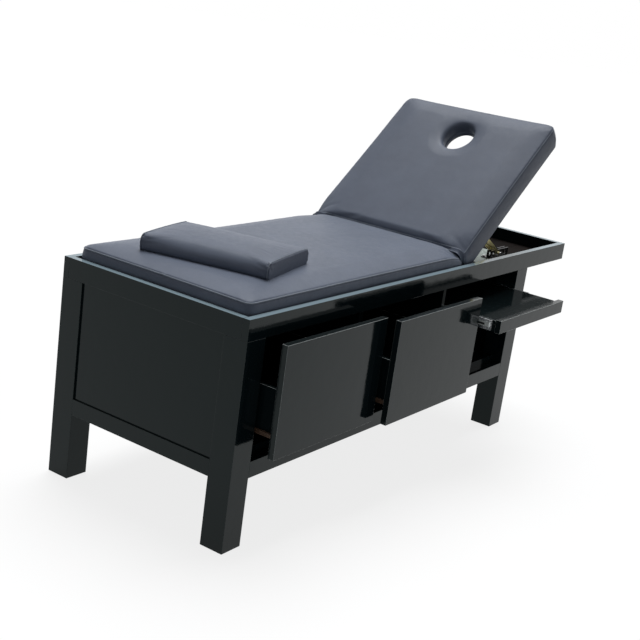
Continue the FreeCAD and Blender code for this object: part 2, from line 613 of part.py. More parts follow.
def hinges():
    """Two butt hinges on the plywood. The seat's leaf has the outer knuckles, the back's the middle one."""
    seat_leaves, back_leaves, pins = [], [], []
    outer = "(knuckle_share * leaf_length)"
    inner = "((1 - 2 * knuckle_share) * leaf_length - 2 * knuckle_clearance)"
    leaf_low = -v.hinge_rise
    gap = v.knuckle_radius + v.knuckle_clearance
    tongue_reach = "knuckle_radius + knuckle_clearance"
    for n, y in enumerate((v.hinge_inset, v.base_width - v.hinge_inset - v.leaf_length), 1):
        axis = shift(HINGE_X, y, HINGE_Z)
        back_axis = BACK.multiply(local(0, y, 0))
        middle_y = v.knuckle_share * v.leaf_length + v.knuckle_clearance
        far_y = v.leaf_length - v.knuckle_share * v.leaf_length
        bore = "hinge_pin_radius + axle_clearance"
        plate = box(f"seat_leaf_plate_{n}", ("leaf_reach", "leaf_length", "leaf_thickness"),
                    axis.multiply(local(-v.leaf_reach - gap, 0, leaf_low - v.rest_gap)))
        tongues = [box(f"seat_leaf_tongue_{n}_{k}", (tongue_reach, outer, "leaf_thickness"),
                       axis.multiply(local(-gap, at, leaf_low - v.rest_gap)))
                   for k, at in enumerate((0, far_y), 1)]
        knuckles = [rod(f"seat_knuckle_{n}_{k}", "knuckle_radius", outer, axis.multiply(local(0, at, 0)), "y")
                    for k, at in enumerate((0, far_y), 1)]
        before = local(0, -v.overrun, 0)
        hole = rod(f"seat_bore_{n}", bore, "leaf_length + 2 * overrun", axis.multiply(before), "y")
        solid = fuse(f"seat_leaf_solid_{n}", [plate] + tongues + knuckles)
        seat_leaves.append(cut(f"seat_leaf_{n}", solid, [hole]))
        plate = box(f"back_leaf_plate_{n}", ("leaf_reach", "leaf_length", "leaf_thickness"),
                    back_axis.multiply(local(gap, 0, leaf_low)))
        tongue = box(f"back_leaf_tongue_{n}", (tongue_reach, inner, "leaf_thickness"),
                     back_axis.multiply(local(0, middle_y, leaf_low)))
        middle = back_axis.multiply(local(0, middle_y, 0))
        knuckle = rod(f"back_knuckle_{n}", "knuckle_radius", inner, middle, "y")
        hole = rod(f"back_bore_{n}", bore, "leaf_length + 2 * overrun", back_axis.multiply(before), "y")
        solid = fuse(f"back_leaf_solid_{n}", [plate, tongue, knuckle])
        back_leaves.append(cut(f"back_leaf_{n}", solid, [hole]))
        pins.append(rod(f"hinge_pin_{n}", "hinge_pin_radius", "leaf_length", axis, "y"))
    group("hinge_seat_leaves", seat_leaves)
    group("hinge_back_leaves", back_leaves)
    group("hinge_pins", pins)


# Prop stays

def hexagon(name, place):
    """A nut along the local Y axis."""
    thing = doc.addObject("Part::Prism", name)
    thing.Polygon = 6
    bind(thing, "Circumradius", "nut_width / 2")
    bind(thing, "Height", "nut_thickness")
    on_side = FreeCAD.Rotation(FreeCAD.Vector(1, 0, 0), -90)
    thing.Placement = place.multiply(FreeCAD.Placement(FreeCAD.Vector(), on_side))
    return thing


def cross_pin(name, centre):
    """A pin along Y with a nut on each end, centred on a place."""
    reach = v.arm_spacing + v.arm_thickness / 2 + v.pin_clearance
    half = reach + v.nut_thickness
    long = "2 * arm_spacing + arm_thickness + 2 * pin_clearance + 2 * nut_thickness"
    shaft = rod(name + "_shaft", "pin_radius", long, centre.multiply(local(0, -half, 0)), "y")
    nuts = [hexagon(f"{name}_nut_{k}", centre.multiply(local(0, at, 0)))
            for k, at in enumerate((-half, reach), 1)]
    return fuse(name, [shaft] + nuts)


def arm(name, centre):
    """A flat bar with round ends, bored at both, from the upper pin to the foot pin."""
    corner = centre.multiply(local(0, -v.arm_thickness / 2, -v.arm_width / 2))
    bar = box(name + "_bar", ("prop_length", "arm_thickness", "arm_width"), corner)
    ends, bores = [], []
    for k, x in enumerate((0, v.prop_length), 1):
        ends.append(rod(f"{name}_end_{k}", "arm_width / 2", "arm_thickness",
                        centre.multiply(local(x, -v.arm_thickness / 2, 0)), "y"))
        bores.append(rod(f"{name}_bore_{k}", "pin_radius + pin_clearance", "arm_thickness + 2 * overrun",
                         centre.multiply(local(x, -v.arm_thickness / 2 - v.overrun, 0)), "y"))
    return cut(name, fuse(name + "_solid", [bar] + ends), bores)


def bracket(n, y):
    """Two cheeks and a plate under the backrest's plywood. The upper pin runs through the cheeks."""
    start = v.prop_anchor - v.cheek_length / 2
    top = v.batten_height - HINGE_HEIGHT
    low = -PIVOT_DROP - v.arm_width / 2 - v.cheek_play
    near = v.arm_spacing / 2 + v.rack_plate / 2
    size = ("cheek_length", "rack_plate", "batten_height - prop_pin_height + arm_width / 2 + cheek_play")
    cheeks = [box(f"bracket_cheek_{n}_{k}", size, BACK.multiply(local(start, y + across, low)))
              for k, across in enumerate((-near, near - v.rack_plate), 1)]
    plate = box(f"bracket_plate_{n}", ("cheek_length", "arm_spacing + rack_plate", "plate_thickness"),
                BACK.multiply(local(start, y - near, top - v.plate_thickness)))
    bore = rod(f"bracket_bore_{n}", "pin_radius + pin_clearance", "arm_spacing + rack_plate + 2 * overrun",
               BACK.multiply(local(v.prop_anchor, y - near - v.overrun, -PIVOT_DROP)), "y")
    return cut(f"bracket_{n}", fuse(f"bracket_solid_{n}", cheeks + [plate]), [bore])


def bolt_places(y):
    """Where the bolts go through the racks' feet: two along each foot."""
    across = v.arm_spacing / 2 - v.rack_plate / 2 + v.rack_foot - v.bolt_head_radius - v.bolt_edge
    return [(x, y + side * across) for x in (SLOT_START, SLOT_START + SLOT_LENGTH) for side in (-1, 1)]


def rack(n, y):
    """Two slotted cheeks on feet. The foot pin runs along the slots, over the notches in their lower edge."""
    made = []
    long = f"{SLOT_WORDS} + 2 * rack_end"
    through = "rack_plate + 2 * overrun"
    low = DECK_TOP + v.plate_thickness
    slot_low = FOOT_Z - v.pin_radius - v.slot_drop
    start = SLOT_START - v.rack_end
    count = int(SLOT_LENGTH / v.notch_pitch)
    first = SLOT_START + (SLOT_LENGTH - (count - 1) * v.notch_pitch) / 2
    near = v.arm_spacing / 2 - v.rack_plate / 2
    sides = ((y - near - v.rack_plate, y - near - v.rack_foot), (y + near, y + near))
    for k, (cheek_y, foot_y) in enumerate(sides, 1):
        tag = f"rack_{n}_{k}"
        cheek = box(tag + "_cheek", (long, "rack_plate", "rack_height"), shift(start, cheek_y, low))
        foot = box(tag + "_foot", (long, "rack_foot", "rack_foot_thickness"), shift(start, foot_y, low))
        slot = box(tag + "_slot", (SLOT_WORDS, through, "2 * pin_radius + slot_drop + slot_play"),
                   shift(SLOT_START, cheek_y - v.overrun, slot_low))
        notches = [rod(f"{tag}_notch_{m + 1}", "notch_radius", through,
                       shift(first + m * v.notch_pitch, cheek_y - v.overrun, slot_low + v.notch_radius / 2),
                       "y") for m in range(count)]
        holes = [rod(f"{tag}_hole_{m}", "bolt_radius + pin_clearance", "rack_foot_thickness + 2 * overrun",
                     shift(x, bolt_y, low - v.overrun)) for m, (x, bolt_y) in enumerate(bolt_places(y), 1)
                 if (bolt_y > y) == (k == 2)]
        made.append(cut(tag, fuse(tag + "_solid", [cheek, foot]), [slot] + notches + holes))
    return made


def base_plate(n, y):
    """The pale plate under a rack. It reaches on towards the hinge, and towards the middle of the bed."""
    start = SLOT_START - v.rack_end - v.base_plate_margin - v.base_plate_reach
    low_y = y - v.base_plate_edge if n == 1 else y + v.base_plate_edge - v.base_plate_width
    long = f"{SLOT_WORDS} + 2 * rack_end + 2 * base_plate_margin + base_plate_reach"
    size = (long, "base_plate_width", "plate_thickness")
    plate = box(f"stay_plate_{n}", size, shift(start, low_y, DECK_TOP))
    holes = [rod(f"stay_plate_hole_{n}_{m}", "bolt_radius + pin_clearance", "plate_thickness + 2 * overrun",
                 shift(x, bolt_y, DECK_TOP - v.overrun)) for m, (x, bolt_y) in enumerate(bolt_places(y), 1)]
    return cut(f"stay_base_plate_{n}", plate, holes)


def bolt(name, x, y):
    """A bolt down through a rack's foot and the base plate."""
    high = DECK_TOP + v.plate_thickness + v.rack_foot_thickness
    head = rod(name + "_head", "bolt_head_radius", "bolt_head_height", shift(x, y, high))
    long = "plate_thickness + rack_foot_thickness + bolt_head_height"
    shank = rod(name + "_shank", "bolt_radius", long, shift(x, y, DECK_TOP))
    return fuse(name, [head, shank])


def prop_stays():
    """Two stays: arms hung from a bracket on the backrest, their foot pin in a slotted rack on the deck."""
    arms, pins, brackets, racks, plates, bolts = [], [], [], [], [], []
    for n, y in enumerate((v.stay_inset, v.base_width - v.stay_inset), 1):
        for k in (-1, 0, 1):
            arms.append(arm(f"prop_arm_{n}_{k + 2}", PROP.multiply(local(0, y + k * v.arm_spacing, 0))))
        pins += [cross_pin(f"prop_pin_{n}_{k}", PROP.multiply(local(x, y, 0)))
                 for k, x in enumerate((0, v.prop_length), 1)]
        brackets.append(bracket(n, y))
        racks += rack(n, y)
        plates.append(base_plate(n, y))
        bolts += [bolt(f"stay_bolt_{n}_{k}", x, bolt_y) for k, (x, bolt_y) in enumerate(bolt_places(y), 1)]
    group("prop_arms", arms)
    group("prop_pins", pins)
    group("prop_brackets", brackets)
    group("stay_racks", racks)
    group("stay_base_plates", plates)
    group("stay_bolts", bolts)


legs()
rims()
lower_rails()
panels()
cabinet_boards()
slide_battens()
slide_channels()
drawer(1, v.drawer_one_pull)
drawer(2, v.drawer_two_pull)
tray()
seat()
backrest()
hinges()
prop_stays()
pillow()
doc.recompute()

for thing in doc.Objects:
    if any(word in thing.State for word in ("Invalid", "Error")):
        raise RuntimeError(f"{thing.Label} did not recompute: {thing.State}")
for thing in parts:
    if thing.Shape.isNull() or not thing.Shape.isValid():
        raise RuntimeError(f"{thing.Label} has no valid shape")

os.makedirs("parts", exist_ok=True)
for thing in parts:
    thing.Shape.exportStep(f"parts/{thing.Label}.step")
print(len(parts), "parts")
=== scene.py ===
"""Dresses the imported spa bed: its finishes, the upholstery with its seams, and the small steel parts.

Lengths are in metres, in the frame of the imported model: X towards the head end, Y towards the back, Z up.
"""
import json
import math

import bmesh
import bpy
from mathutils import Matrix, Vector, noise
from mathutils.bvhtree import BVHTree
from mathutils.kdtree import KDTree

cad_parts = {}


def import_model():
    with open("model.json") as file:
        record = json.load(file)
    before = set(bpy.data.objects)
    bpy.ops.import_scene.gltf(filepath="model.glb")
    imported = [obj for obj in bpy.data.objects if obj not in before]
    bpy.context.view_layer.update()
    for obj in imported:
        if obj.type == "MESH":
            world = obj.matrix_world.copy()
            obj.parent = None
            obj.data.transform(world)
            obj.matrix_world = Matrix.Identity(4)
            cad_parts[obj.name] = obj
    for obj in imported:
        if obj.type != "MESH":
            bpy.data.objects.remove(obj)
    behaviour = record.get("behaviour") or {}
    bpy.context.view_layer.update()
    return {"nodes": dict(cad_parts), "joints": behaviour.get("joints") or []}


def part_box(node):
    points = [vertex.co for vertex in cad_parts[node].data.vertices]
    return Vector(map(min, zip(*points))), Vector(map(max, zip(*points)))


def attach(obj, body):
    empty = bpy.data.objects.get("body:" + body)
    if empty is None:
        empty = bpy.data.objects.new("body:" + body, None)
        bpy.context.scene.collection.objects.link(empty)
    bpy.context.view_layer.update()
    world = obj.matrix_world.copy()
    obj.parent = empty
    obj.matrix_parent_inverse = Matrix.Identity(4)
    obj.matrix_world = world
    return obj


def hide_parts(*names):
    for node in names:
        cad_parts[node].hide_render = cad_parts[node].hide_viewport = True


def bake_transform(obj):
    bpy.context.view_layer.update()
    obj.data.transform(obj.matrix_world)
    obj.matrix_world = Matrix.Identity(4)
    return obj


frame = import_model()
scene = bpy.context.scene
MM = 0.001

# The camera stands where the photograph was taken. In degrees: its turn about Z from +Y, its dip and its roll
CAMERA_PLACE = (-3.3518, -2.0496, 1.5728)
CAMERA_YAW = 56.3038
CAMERA_DIP = 16.2301
CAMERA_ROLL = 7.9668
CAMERA_LENS = 67.12
SENSOR = 36.0

# The white around the object: how far the floor goes, its colour, and how much it is lifted for the eye
FLOOR_RADIUS = 30
FLOOR_COLOUR = (0.2, 0.2, 0.2)
FLOOR_LIFT = 0.82
SKY_LEVEL = 0.15
# One large soft lamp, high over the head end and the back: the way to it, how wide it looks, its level
LAMP_FROM = (0.34, 0.2, 0.92)
LAMP_ANGLE = 40
LAMP_LEVEL = 2.75
LAMP_COLOUR = (0.98, 0.99, 1.0)

# Tones of the lacquer: its sides; its tops, set apart from the sides as a painted reflection; the rim's top,
# a pale painted reflection; and its edges, with a painted highlight that is bright on the drawers and tray
# and faint on the rest
LACQUER_SIDE = (0.006, 0.013, 0.016)
TOP_PAINTED_REFLECTION = (0.006, 0.01, 0.011)
RIM_PAINTED_REFLECTION = (0.24, 0.32, 0.365)
BRIGHT_EDGE_HIGHLIGHT = (0.5, 0.53, 0.53)
FAINT_EDGE_HIGHLIGHT = (0.035, 0.045, 0.05)
# Tones of the leather, and of its seams' pressed edges, whose paler tone is partly wear and partly a painted
# highlight
LEATHER = (0.121, 0.142, 0.19)
SEAM_WEAR_AND_HIGHLIGHT = (0.22, 0.25, 0.3)

# The two pads, in their own frame: X from the fold, Y across, Z up from the underside. The height of the
# border's seam, the crown's rise above it, the corners, and how far the sides are drawn in and tucked under
PAD_SEAM = 78 * MM
PAD_CROWN = 18 * MM
PAD_CORNER = 24 * MM
PAD_DRAW_IN = 3 * MM
PAD_TUCK = 5 * MM
# The room inside a pad for its wooden frame: in from the pad's sides, up from the underside, and its corners
PAD_SKIRT = 10 * MM
PAD_ROOM = 47.5 * MM
FRAME_CORNER = 28 * MM
# How far a pad's form runs on below its underside and past its fold, until it is cut there
BELOW = 16 * MM
PAST_FOLD = 240 * MM
# Where the cover stays as it is under pressure: up to a height over the underside, and near the border's seam
HELD_BELOW = 40 * MM
HELD_FADE = 20 * MM
SEAM_HOLD = 9 * MM
SEAM_HOLD_IN = 30 * MM
SEAM_FIRM = 0.85
# How far the cover may swell, on the border and above it
BORDER_TOP = 60 * MM
BORDER_SWELL = 1.5 * MM
TOP_SWELL = 5 * MM
# Radii of the pressed edges, round each pad and over its fold
SEAT_SEAMS = (2.3 * MM, 2.0 * MM)
BACK_SEAMS = (1.3 * MM, 1.4 * MM)
# Each ring of the crown: how far up, and how far in from the seam, as shares of the rise and of the width
CROWN_SHARES = ((0.22, 0.008), (0.5, 0.03), (0.8, 0.09), (0.95, 0.19), (1.0, 0.3))
# How far apart the points lie, on the rings of a pad's form and on its seams
RING_STEP = 12 * MM
SEAM_STEP = 4 * MM

# The fold between the pads: how high its hinge is, how far each end leans back in degrees, and half its gap
HINGE_HEIGHT = 48 * MM
FOLD_LEAN = 22.5
FOLD_GAP = 6 * MM
# How far the pads' tops drop at the fold's two ends: how far along and in from the side, and over what height
FOLD_DROP = 16 * MM
FOLD_DROP_ALONG = 110 * MM
FOLD_DROP_SIDE = 75 * MM
FOLD_DROP_FROM = 40 * MM
FOLD_DROP_OVER = 40 * MM
# How far they swell into the fold between its ends, the same way
FOLD_SWELL = 4.5 * MM
FOLD_SWELL_ALONG = 32 * MM
FOLD_SWELL_SIDE = 40 * MM
FOLD_SWELL_FROM = 50 * MM
FOLD_SWELL_OVER = 20 * MM
# The seam over each pad's end, and the strip of leather between the two
FOLD_SEAM_RISE = 11 * MM
FOLD_SEAM_ROUND = 30 * MM
FOLD_STRIP_HIGH = 39 * MM
FOLD_STRIP_SIDE = 5 * MM
FOLD_STRIP_ROUND = 26 * MM
FOLD_STRIP_WALL = 1.2 * MM
FOLD_SAG = 10 * MM

# The face hole: its middle from the fold, its size, how far it widens at the top, and its lining
HOLE_PLACE = 542 * MM
HOLE_LENGTH = 138 * MM
HOLE_WIDTH = 108 * MM
HOLE_FLARE = 16 * MM
LINING_PLAY = 0.4 * MM
LINING_WALL = 1.2 * MM
LINING_FLANGE = 9 * MM
LINING_UNDER = 36 * MM
LINING_TOP = 53 * MM

# The pillow: its turn about Z in degrees, its edge's height, its crown, how its long edges roll over in the
# middle and at the ends, how long its ends are, and how far in the caps' seams are
PILLOW_TURN = 13
PILLOW_SEAM = 50 * MM
PILLOW_CROWN = 10 * MM
PILLOW_ROLL = 29 * MM
PILLOW_EDGE = 17 * MM
PILLOW_END = 55 * MM
CAP_SEAM = 4 * MM
# Where its cover stays as it is under pressure: at its ends, edges and foot. And how far the rest may swell
PILLOW_HELD_END = 14 * MM
PILLOW_HELD_EDGE = 12 * MM
PILLOW_HELD_FOOT = 12 * MM
PILLOW_FIRM = 0.9
PILLOW_SWELL = 4.5 * MM

# Where the foot border is puckered, in the model's own frame
PUCKERS = ((-0.952, 0.1715, 0.714), (-0.952, 0.0955, 0.713), (-0.952, 0.0795, 0.711))

# The ribs and ridges below take a paler tone, a painted highlight, and the slots are dark patches laid on the
# steel, painted shade for the openings
# What is pressed into the tray's slides. On the middle channels, from their ends: ribs near both edges, and
# slots along the middle, which start this many millimetres along
SLIDE_PROUD = 0.35 * MM
SLIDE_RIB = 4 * MM
SLIDE_EDGE = 2 * MM
SLIDE_SLOT_UP = 4 * MM
SLIDE_SLOTS = (14, 230, 400)
SLIDE_SLOT_LENGTH = 26
# In the inner channels: a ridge on the web, and its slots the same way
INNER_DEPTH = 9 * MM
INNER_WALL = 1.2 * MM
RIDGE_RISE = 6 * MM
RIDGE_HALF = 8 * MM
RIDGE_END = 8 * MM
RIDGE_SLOTS = (24, 190, 356)
RIDGE_SLOT_LENGTH = 34
RIDGE_SLOT_DOWN = 4 * MM
RIDGE_SLOT_UP = 3 * MM
RIDGE_SLOT_PROUD = 0.4 * MM


# Finishes

class Finish:
    """A procedural material: its shader, and the chains of nodes that feed it."""

    def __init__(self, name, colour, roughness, metallic=0.0, ior=1.5):
        self.material = bpy.data.materials.new(name)
        self.material.use_nodes = True
        self.tree = self.material.node_tree
        self.shader = self.tree.nodes["Principled BSDF"]
        self.shader.inputs["Base Color"].default_value = (*colour, 1)
        self.shader.inputs["Roughness"].default_value = roughness
        self.shader.inputs["Metallic"].default_value = metallic
        self.shader.inputs["IOR"].default_value = ior
        self.place = self.add("TexCoord").outputs["Object"]
        self.height = None

    def add(self, kind, inputs=None, **settings):
        node = self.tree.nodes.new("ShaderNode" + kind)
        for key, value in settings.items():
            setattr(node, key, value)
        for key, value in (inputs or {}).items():
            if isinstance(value, bpy.types.NodeSocket):
                self.tree.links.new(value, node.inputs[key])
            else:
                node.inputs[key].default_value = value
        return node

    def stretched(self, stretch):
        """The place on the object, with each axis scaled."""
        return self.add("Mapping", {"Vector": self.place, "Scale": stretch}).outputs["Vector"]

    def noise(self, scale, detail=3.0, rough=0.5, stretch=(1, 1, 1)):
        fields = {"Vector": self.stretched(stretch), "Scale": scale, "Detail": detail, "Roughness": rough}
        return self.add("TexNoise", fields).outputs["Fac"]

    def cells(self, scale):
        fields = {"Vector": self.stretched((1, 1, 1)), "Scale": scale}
        return self.add("TexVoronoi", fields, feature="F1").outputs["Distance"]

    def spread(self, factor, low, high, start=0.3, end=0.7):
        """A number from low to high, as the factor goes from start to end."""
        fields = {"Value": factor, "From Min": start, "From Max": end, "To Min": low, "To Max": high}
        return self.add("MapRange", fields).outputs["Result"]

    def tint(self, factor, low, high, start=0.3, end=0.7):
        """A colour from low to high, as the factor goes from start to end."""
        ramp = self.add("ValToRGB", {"Fac": factor})
        for point, place, colour in zip(ramp.color_ramp.elements, (start, end), (low, high)):
            point.position = place
            point.color = (*colour, 1)
        return ramp.outputs["Color"]

    def feed(self, socket, source):
        self.tree.links.new(source, self.shader.inputs[socket])

    def bump(self, height, distance, strength=1.0):
        """One more layer of relief, on top of the ones before it."""
        fields = {"Height": height, "Distance": distance, "Strength": strength}
        if self.height is not None:
            fields["Normal"] = self.height
        self.height = self.add("Bump", fields).outputs["Normal"]
        self.feed("Normal", self.height)


def black_lacquer(name="black_lacquer_finish", top=TOP_PAINTED_REFLECTION, edge=BRIGHT_EDGE_HIGHLIGHT):
    """Glossy black lacquer with a faint orange peel, painted reflection on its upward faces and painted
    highlights on its edges.
    """
    f = Finish(name, top, 0.09, ior=1.27)
    f.shader.inputs["Specular Tint"].default_value = (0.85, 1, 0.98, 1)
    normal = f.add("TexCoord").outputs["Normal"]
    up = f.add("SeparateXYZ", {"Vector": normal}).outputs["Z"]
    # Faces turned up take the top tone and the rest the side tone: the difference is painted reflection
    plain = f.tint(up, LACQUER_SIDE, top, 0.5, 0.95)
    # Rounded edges, where the normal leans between two axes, take the edge tone: a painted highlight
    sides = f.add("VectorMath", {0: normal}, operation="ABSOLUTE").outputs["Vector"]
    turned = f.add("VectorMath", {0: sides, 1: (1, 1, 1)}, operation="DOT_PRODUCT").outputs["Value"]
    edge_highlight = f.spread(turned, 0.0, 1.0, 1.12, 1.3)
    mixed = f.add("MixRGB", {"Fac": edge_highlight, "Color1": plain, "Color2": (*edge, 1)})
    f.feed("Base Color", mixed.outputs["Color"])
    f.feed("Roughness", f.spread(f.noise(9.0, 6.0, 0.65), 0.06, 0.14, 0.35, 0.75))
    f.bump(f.noise(26.0, 2.0), 0.0003)
    f.bump(f.noise(240.0, 2.0), 0.00005)
    return f


def brown_board():
    """Dark brown melamine with a fine open grain along the bed."""
    f = Finish("brown_board_finish", (0.011, 0.0095, 0.009), 0.45)
    f.shader.inputs["Specular IOR Level"].default_value = 0.01
    grain = f.noise(38.0, 6.0, 0.6, (0.06, 1, 1))
    f.feed("Base Color", f.tint(grain, (0.007, 0.006, 0.0056), (0.016, 0.0135, 0.0125)))
    f.feed("Roughness", f.spread(grain, 0.55, 0.7))
    f.bump(f.noise(420.0, 3.0, 0.5, (0.05, 1, 1)), 0.0001)
    return f


def bare_wood():
    """Unfinished pine and birch: pale, with rings, darker streaks and a few knots."""
    f = Finish("bare_wood_finish", (0.5, 0.36, 0.21), 0.62)
    streaks = f.noise(30.0, 5.0, 0.6, (0.08, 1, 1))
    fields = {"Vector": f.stretched((0.12, 1, 1)), "Scale": 16.0, "Distortion": 5.0, "Detail": 3.0}
    wave = f.add("TexWave", fields, bands_direction="Y").outputs["Fac"]
    both = f.add("Math", {0: streaks, 1: wave}, operation="MULTIPLY").outputs["Value"]
    f.feed("Base Color", f.tint(both, (0.56, 0.41, 0.245), (0.36, 0.235, 0.12), 0.1, 0.62))
    f.feed("Roughness", f.spread(streaks, 0.55, 0.72))
    f.bump(f.noise(300.0, 4.0, 0.6, (0.05, 1, 1)), 0.00025)
    return f


def upholstery(name="upholstery_finish", colour=LEATHER, wrinkles=0.1):
    """Smooth slate grey leather: fine pebbled grain, faint wrinkles, and a slight wear in its tone."""
    f = Finish(name, colour, 0.42)
    low = tuple(c * 0.92 for c in colour)
    high = tuple(c * 1.08 for c in colour)
    f.feed("Base Color", f.tint(f.noise(7.0, 6.0, 0.6), low, high))
    f.feed("Roughness", f.spread(f.noise(55.0, 5.0, 0.6), 0.37, 0.48))
    f.shader.inputs["Specular IOR Level"].default_value = 0.15
    f.bump(f.noise(13.0, 3.0), 0.006, wrinkles)
    f.bump(f.cells(850.0), 0.00014)
    f.bump(f.noise(2100.0, 2.0), 0.00007)
    return f


def pressed_seam():
    """The pressed edge of a seam, paler than the leather all along: partly rubbed wear, partly a painted
    highlight.
    """
    return upholstery("seam_finish", SEAM_WEAR_AND_HIGHLIGHT, 0.05)


def galvanised():
    """Dull pale sheet with the crystals that hot zinc leaves."""
    f = Finish("galvanised_finish", (0.3, 0.34, 0.32), 0.5, 0.5)
    spangle = f.add("TexVoronoi", {"Vector": f.place, "Scale": 95.0}).outputs["Color"]
    level = f.add("RGBToBW", {"Color": spangle}).outputs["Val"]
    f.feed("Base Color", f.tint(level, (0.17, 0.21, 0.195), (0.3, 0.35, 0.33), 0.2, 0.8))
    f.feed("Roughness", f.spread(level, 0.42, 0.6, 0.2, 0.8))
    return f


def black_steel():
    """Black powder coat with its fine orange peel."""
    f = Finish("black_steel_finish", (0.012, 0.012, 0.013), 0.34)
    f.feed("Roughness", f.spread(f.noise(60.0, 4.0), 0.26, 0.42))
    f.bump(f.noise(900.0, 2.0), 0.00012)
    return f


def yellow_zinc():
    """Yellow zinc with the faint green and rose clouds of its passivation."""
    f = Finish("yellow_zinc_finish", (0.6, 0.5, 0.24), 0.3, 1.0)
    f.feed("Base Color", f.tint(f.noise(60.0, 4.0, 0.6), (0.6, 0.46, 0.2), (0.56, 0.58, 0.3)))
    f.feed("Roughness", f.spread(f.noise(300.0, 3.0), 0.24, 0.4))
    f.bump(f.noise(900.0, 2.0, 0.5, (0.05, 1, 1)), 0.00004)
    return f


def bright_steel():
    """Bright zinc, drawn along its length, with dull spots."""
    f = Finish("bright_steel_finish", (0.66, 0.67, 0.69), 0.24, 1.0)
    f.feed("Roughness", f.spread(f.noise(260.0, 4.0, 0.6), 0.17, 0.36))
    f.bump(f.noise(1400.0, 2.0, 0.5, (1, 0.04, 1)), 0.00003)
    return f


def bright_zinc():
    """The pressed ribs of the tray's slides, set paler than the channels' flat webs as a painted highlight.
    """
    f = Finish("rib_highlight_finish", (0.82, 0.86, 0.85), 0.4, 0.3)
    f.feed("Roughness", f.spread(f.noise(260.0, 4.0, 0.6), 0.32, 0.48))
    return f


def brown_epoxy():
    """Brown epoxy coat on the drawer slides, a little paler where the rollers polish it."""
    f = Finish("brown_epoxy_finish", (0.15, 0.09, 0.06), 0.32)
    f.feed("Base Color", f.tint(f.noise(40.0, 4.0), (0.11, 0.062, 0.04), (0.2, 0.125, 0.085)))
    f.bump(f.noise(700.0, 2.0), 0.00008)
    return f


def roller_plastic():
    """White nylon, slightly see-through at its skin."""
    f = Finish("roller_plastic_finish", (0.76, 0.75, 0.71), 0.35)
    f.shader.inputs["Subsurface Weight"].default_value = 0.15
    f.shader.inputs["Subsurface Radius"].default_value = (0.002, 0.002, 0.0015)
    f.bump(f.noise(500.0, 2.0), 0.00006)
    return f


# The finish of each slot of the model, and four that only some of its parts have
FINISHES = {make.__name__: make().material for make in (
    black_lacquer, brown_board, bare_wood, upholstery, black_steel, yellow_zinc, bright_steel, brown_epoxy,
    roller_plastic)}
FINISHES["galvanised_steel"] = galvanised().material
# The seams' paler tone is partly wear and partly a painted highlight. The rim's lacquer has a pale painted
# reflection on its top, the ribs' zinc is a painted highlight, the drawers' and tray's edges a bright painted
# highlight, and the rim's and frame's edges a faint one
SEAM_FINISH = pressed_seam().material
RIM_FINISH = black_lacquer("rim_lacquer_finish", RIM_PAINTED_REFLECTION, FAINT_EDGE_HIGHLIGHT).material
RIB_HIGHLIGHT_FINISH = bright_zinc().material
FRAME_FINISH = black_lacquer("frame_lacquer_finish", edge=FAINT_EDGE_HIGHLIGHT).material


def dress_nodes():
    """Gives each node its slot's finish; the rim's top gets a painted reflection, the drawers and tray
    painted edge highlights.
    """
    for name, node in frame["nodes"].items():
        for k, old in enumerate(node.data.materials):
            finish = FINISHES[old.name.split(".")[0]]
            if name.startswith("rim_"):
                finish = RIM_FINISH
            elif finish.name.startswith("black_lacquer") and not name.startswith(("drawer_", "tray_")):
                finish = FRAME_FINISH
            node.data.materials[k] = finish


# Meshes

def new_piece(name, mesh, material):
    """An object of one mesh and one finish."""
    piece = bpy.data.objects.new(name, mesh)
    scene.collection.objects.link(piece)
    mesh.materials.clear()
    mesh.materials.append(material)
    return piece


def evaluated(piece):
    """The piece's mesh with its modifiers applied."""
    bpy.context.view_layer.update()
    graph = bpy.context.evaluated_depsgraph_get()
    return bpy.data.meshes.new_from_object(piece.evaluated_get(graph))


def settle(piece):
    """Applies every modifier of a piece, so that its mesh is the one they make."""
    mesh = evaluated(piece)
    piece.modifiers.clear()
    old = piece.data
    piece.data = mesh
    bpy.data.meshes.remove(old)


def smooth_shaded(mesh):
    mesh.polygons.foreach_set("use_smooth", [True] * len(mesh.polygons))


def outline(x0, y0, x1, y1, corner, draw, step):
    """Points round a rectangle with round corners, each side drawn in a little at its middle."""
    points = []
    corners = ((x1 - corner, y0 + corner, -90), (x1 - corner, y1 - corner, 0),
               (x0 + corner, y1 - corner, 90), (x0 + corner, y0 + corner, 180))
    arc_steps = max(3, round(corner * math.pi / 2 / step))
    for k, (cx, cy, start) in enumerate(corners):
        for n in range(arc_steps + 1):
            angle = math.radians(start + 90 * n / arc_steps)
            points.append(Vector((cx + corner * math.cos(angle), cy + corner * math.sin(angle), 0)))
        here = points[-1]
        nx, ny, next_start = corners[(k + 1) % 4]
        angle = math.radians(next_start)
        there = Vector((nx + corner * math.cos(angle), ny + corner * math.sin(angle), 0))
        side_steps = max(2, round((there - here).length / step))
        inward = Vector((-(there - here).y, (there - here).x, 0)).normalized()
        for n in range(1, side_steps):
            share = n / side_steps
            points.append(here.lerp(there, share) + inward * draw * 4 * share * (1 - share))
    return points


def loft(rings):
    """A closed mesh through rings of as many points each, capped at both ends."""
    count = len(rings[0])
    verts = [p for ring in rings for p in ring]
    faces = [tuple(range(count - 1, -1, -1))]
    for r in range(len(rings) - 1):
        for k in range(count):
            a, b = r * count + k, r * count + (k + 1) % count
            faces.append((a, b, b + count, a + count))
    faces.append(tuple(range((len(rings) - 1) * count, len(rings) * count)))
    mesh = bpy.data.meshes.new("loft")
    mesh.from_pydata(verts, [], faces)
    return mesh


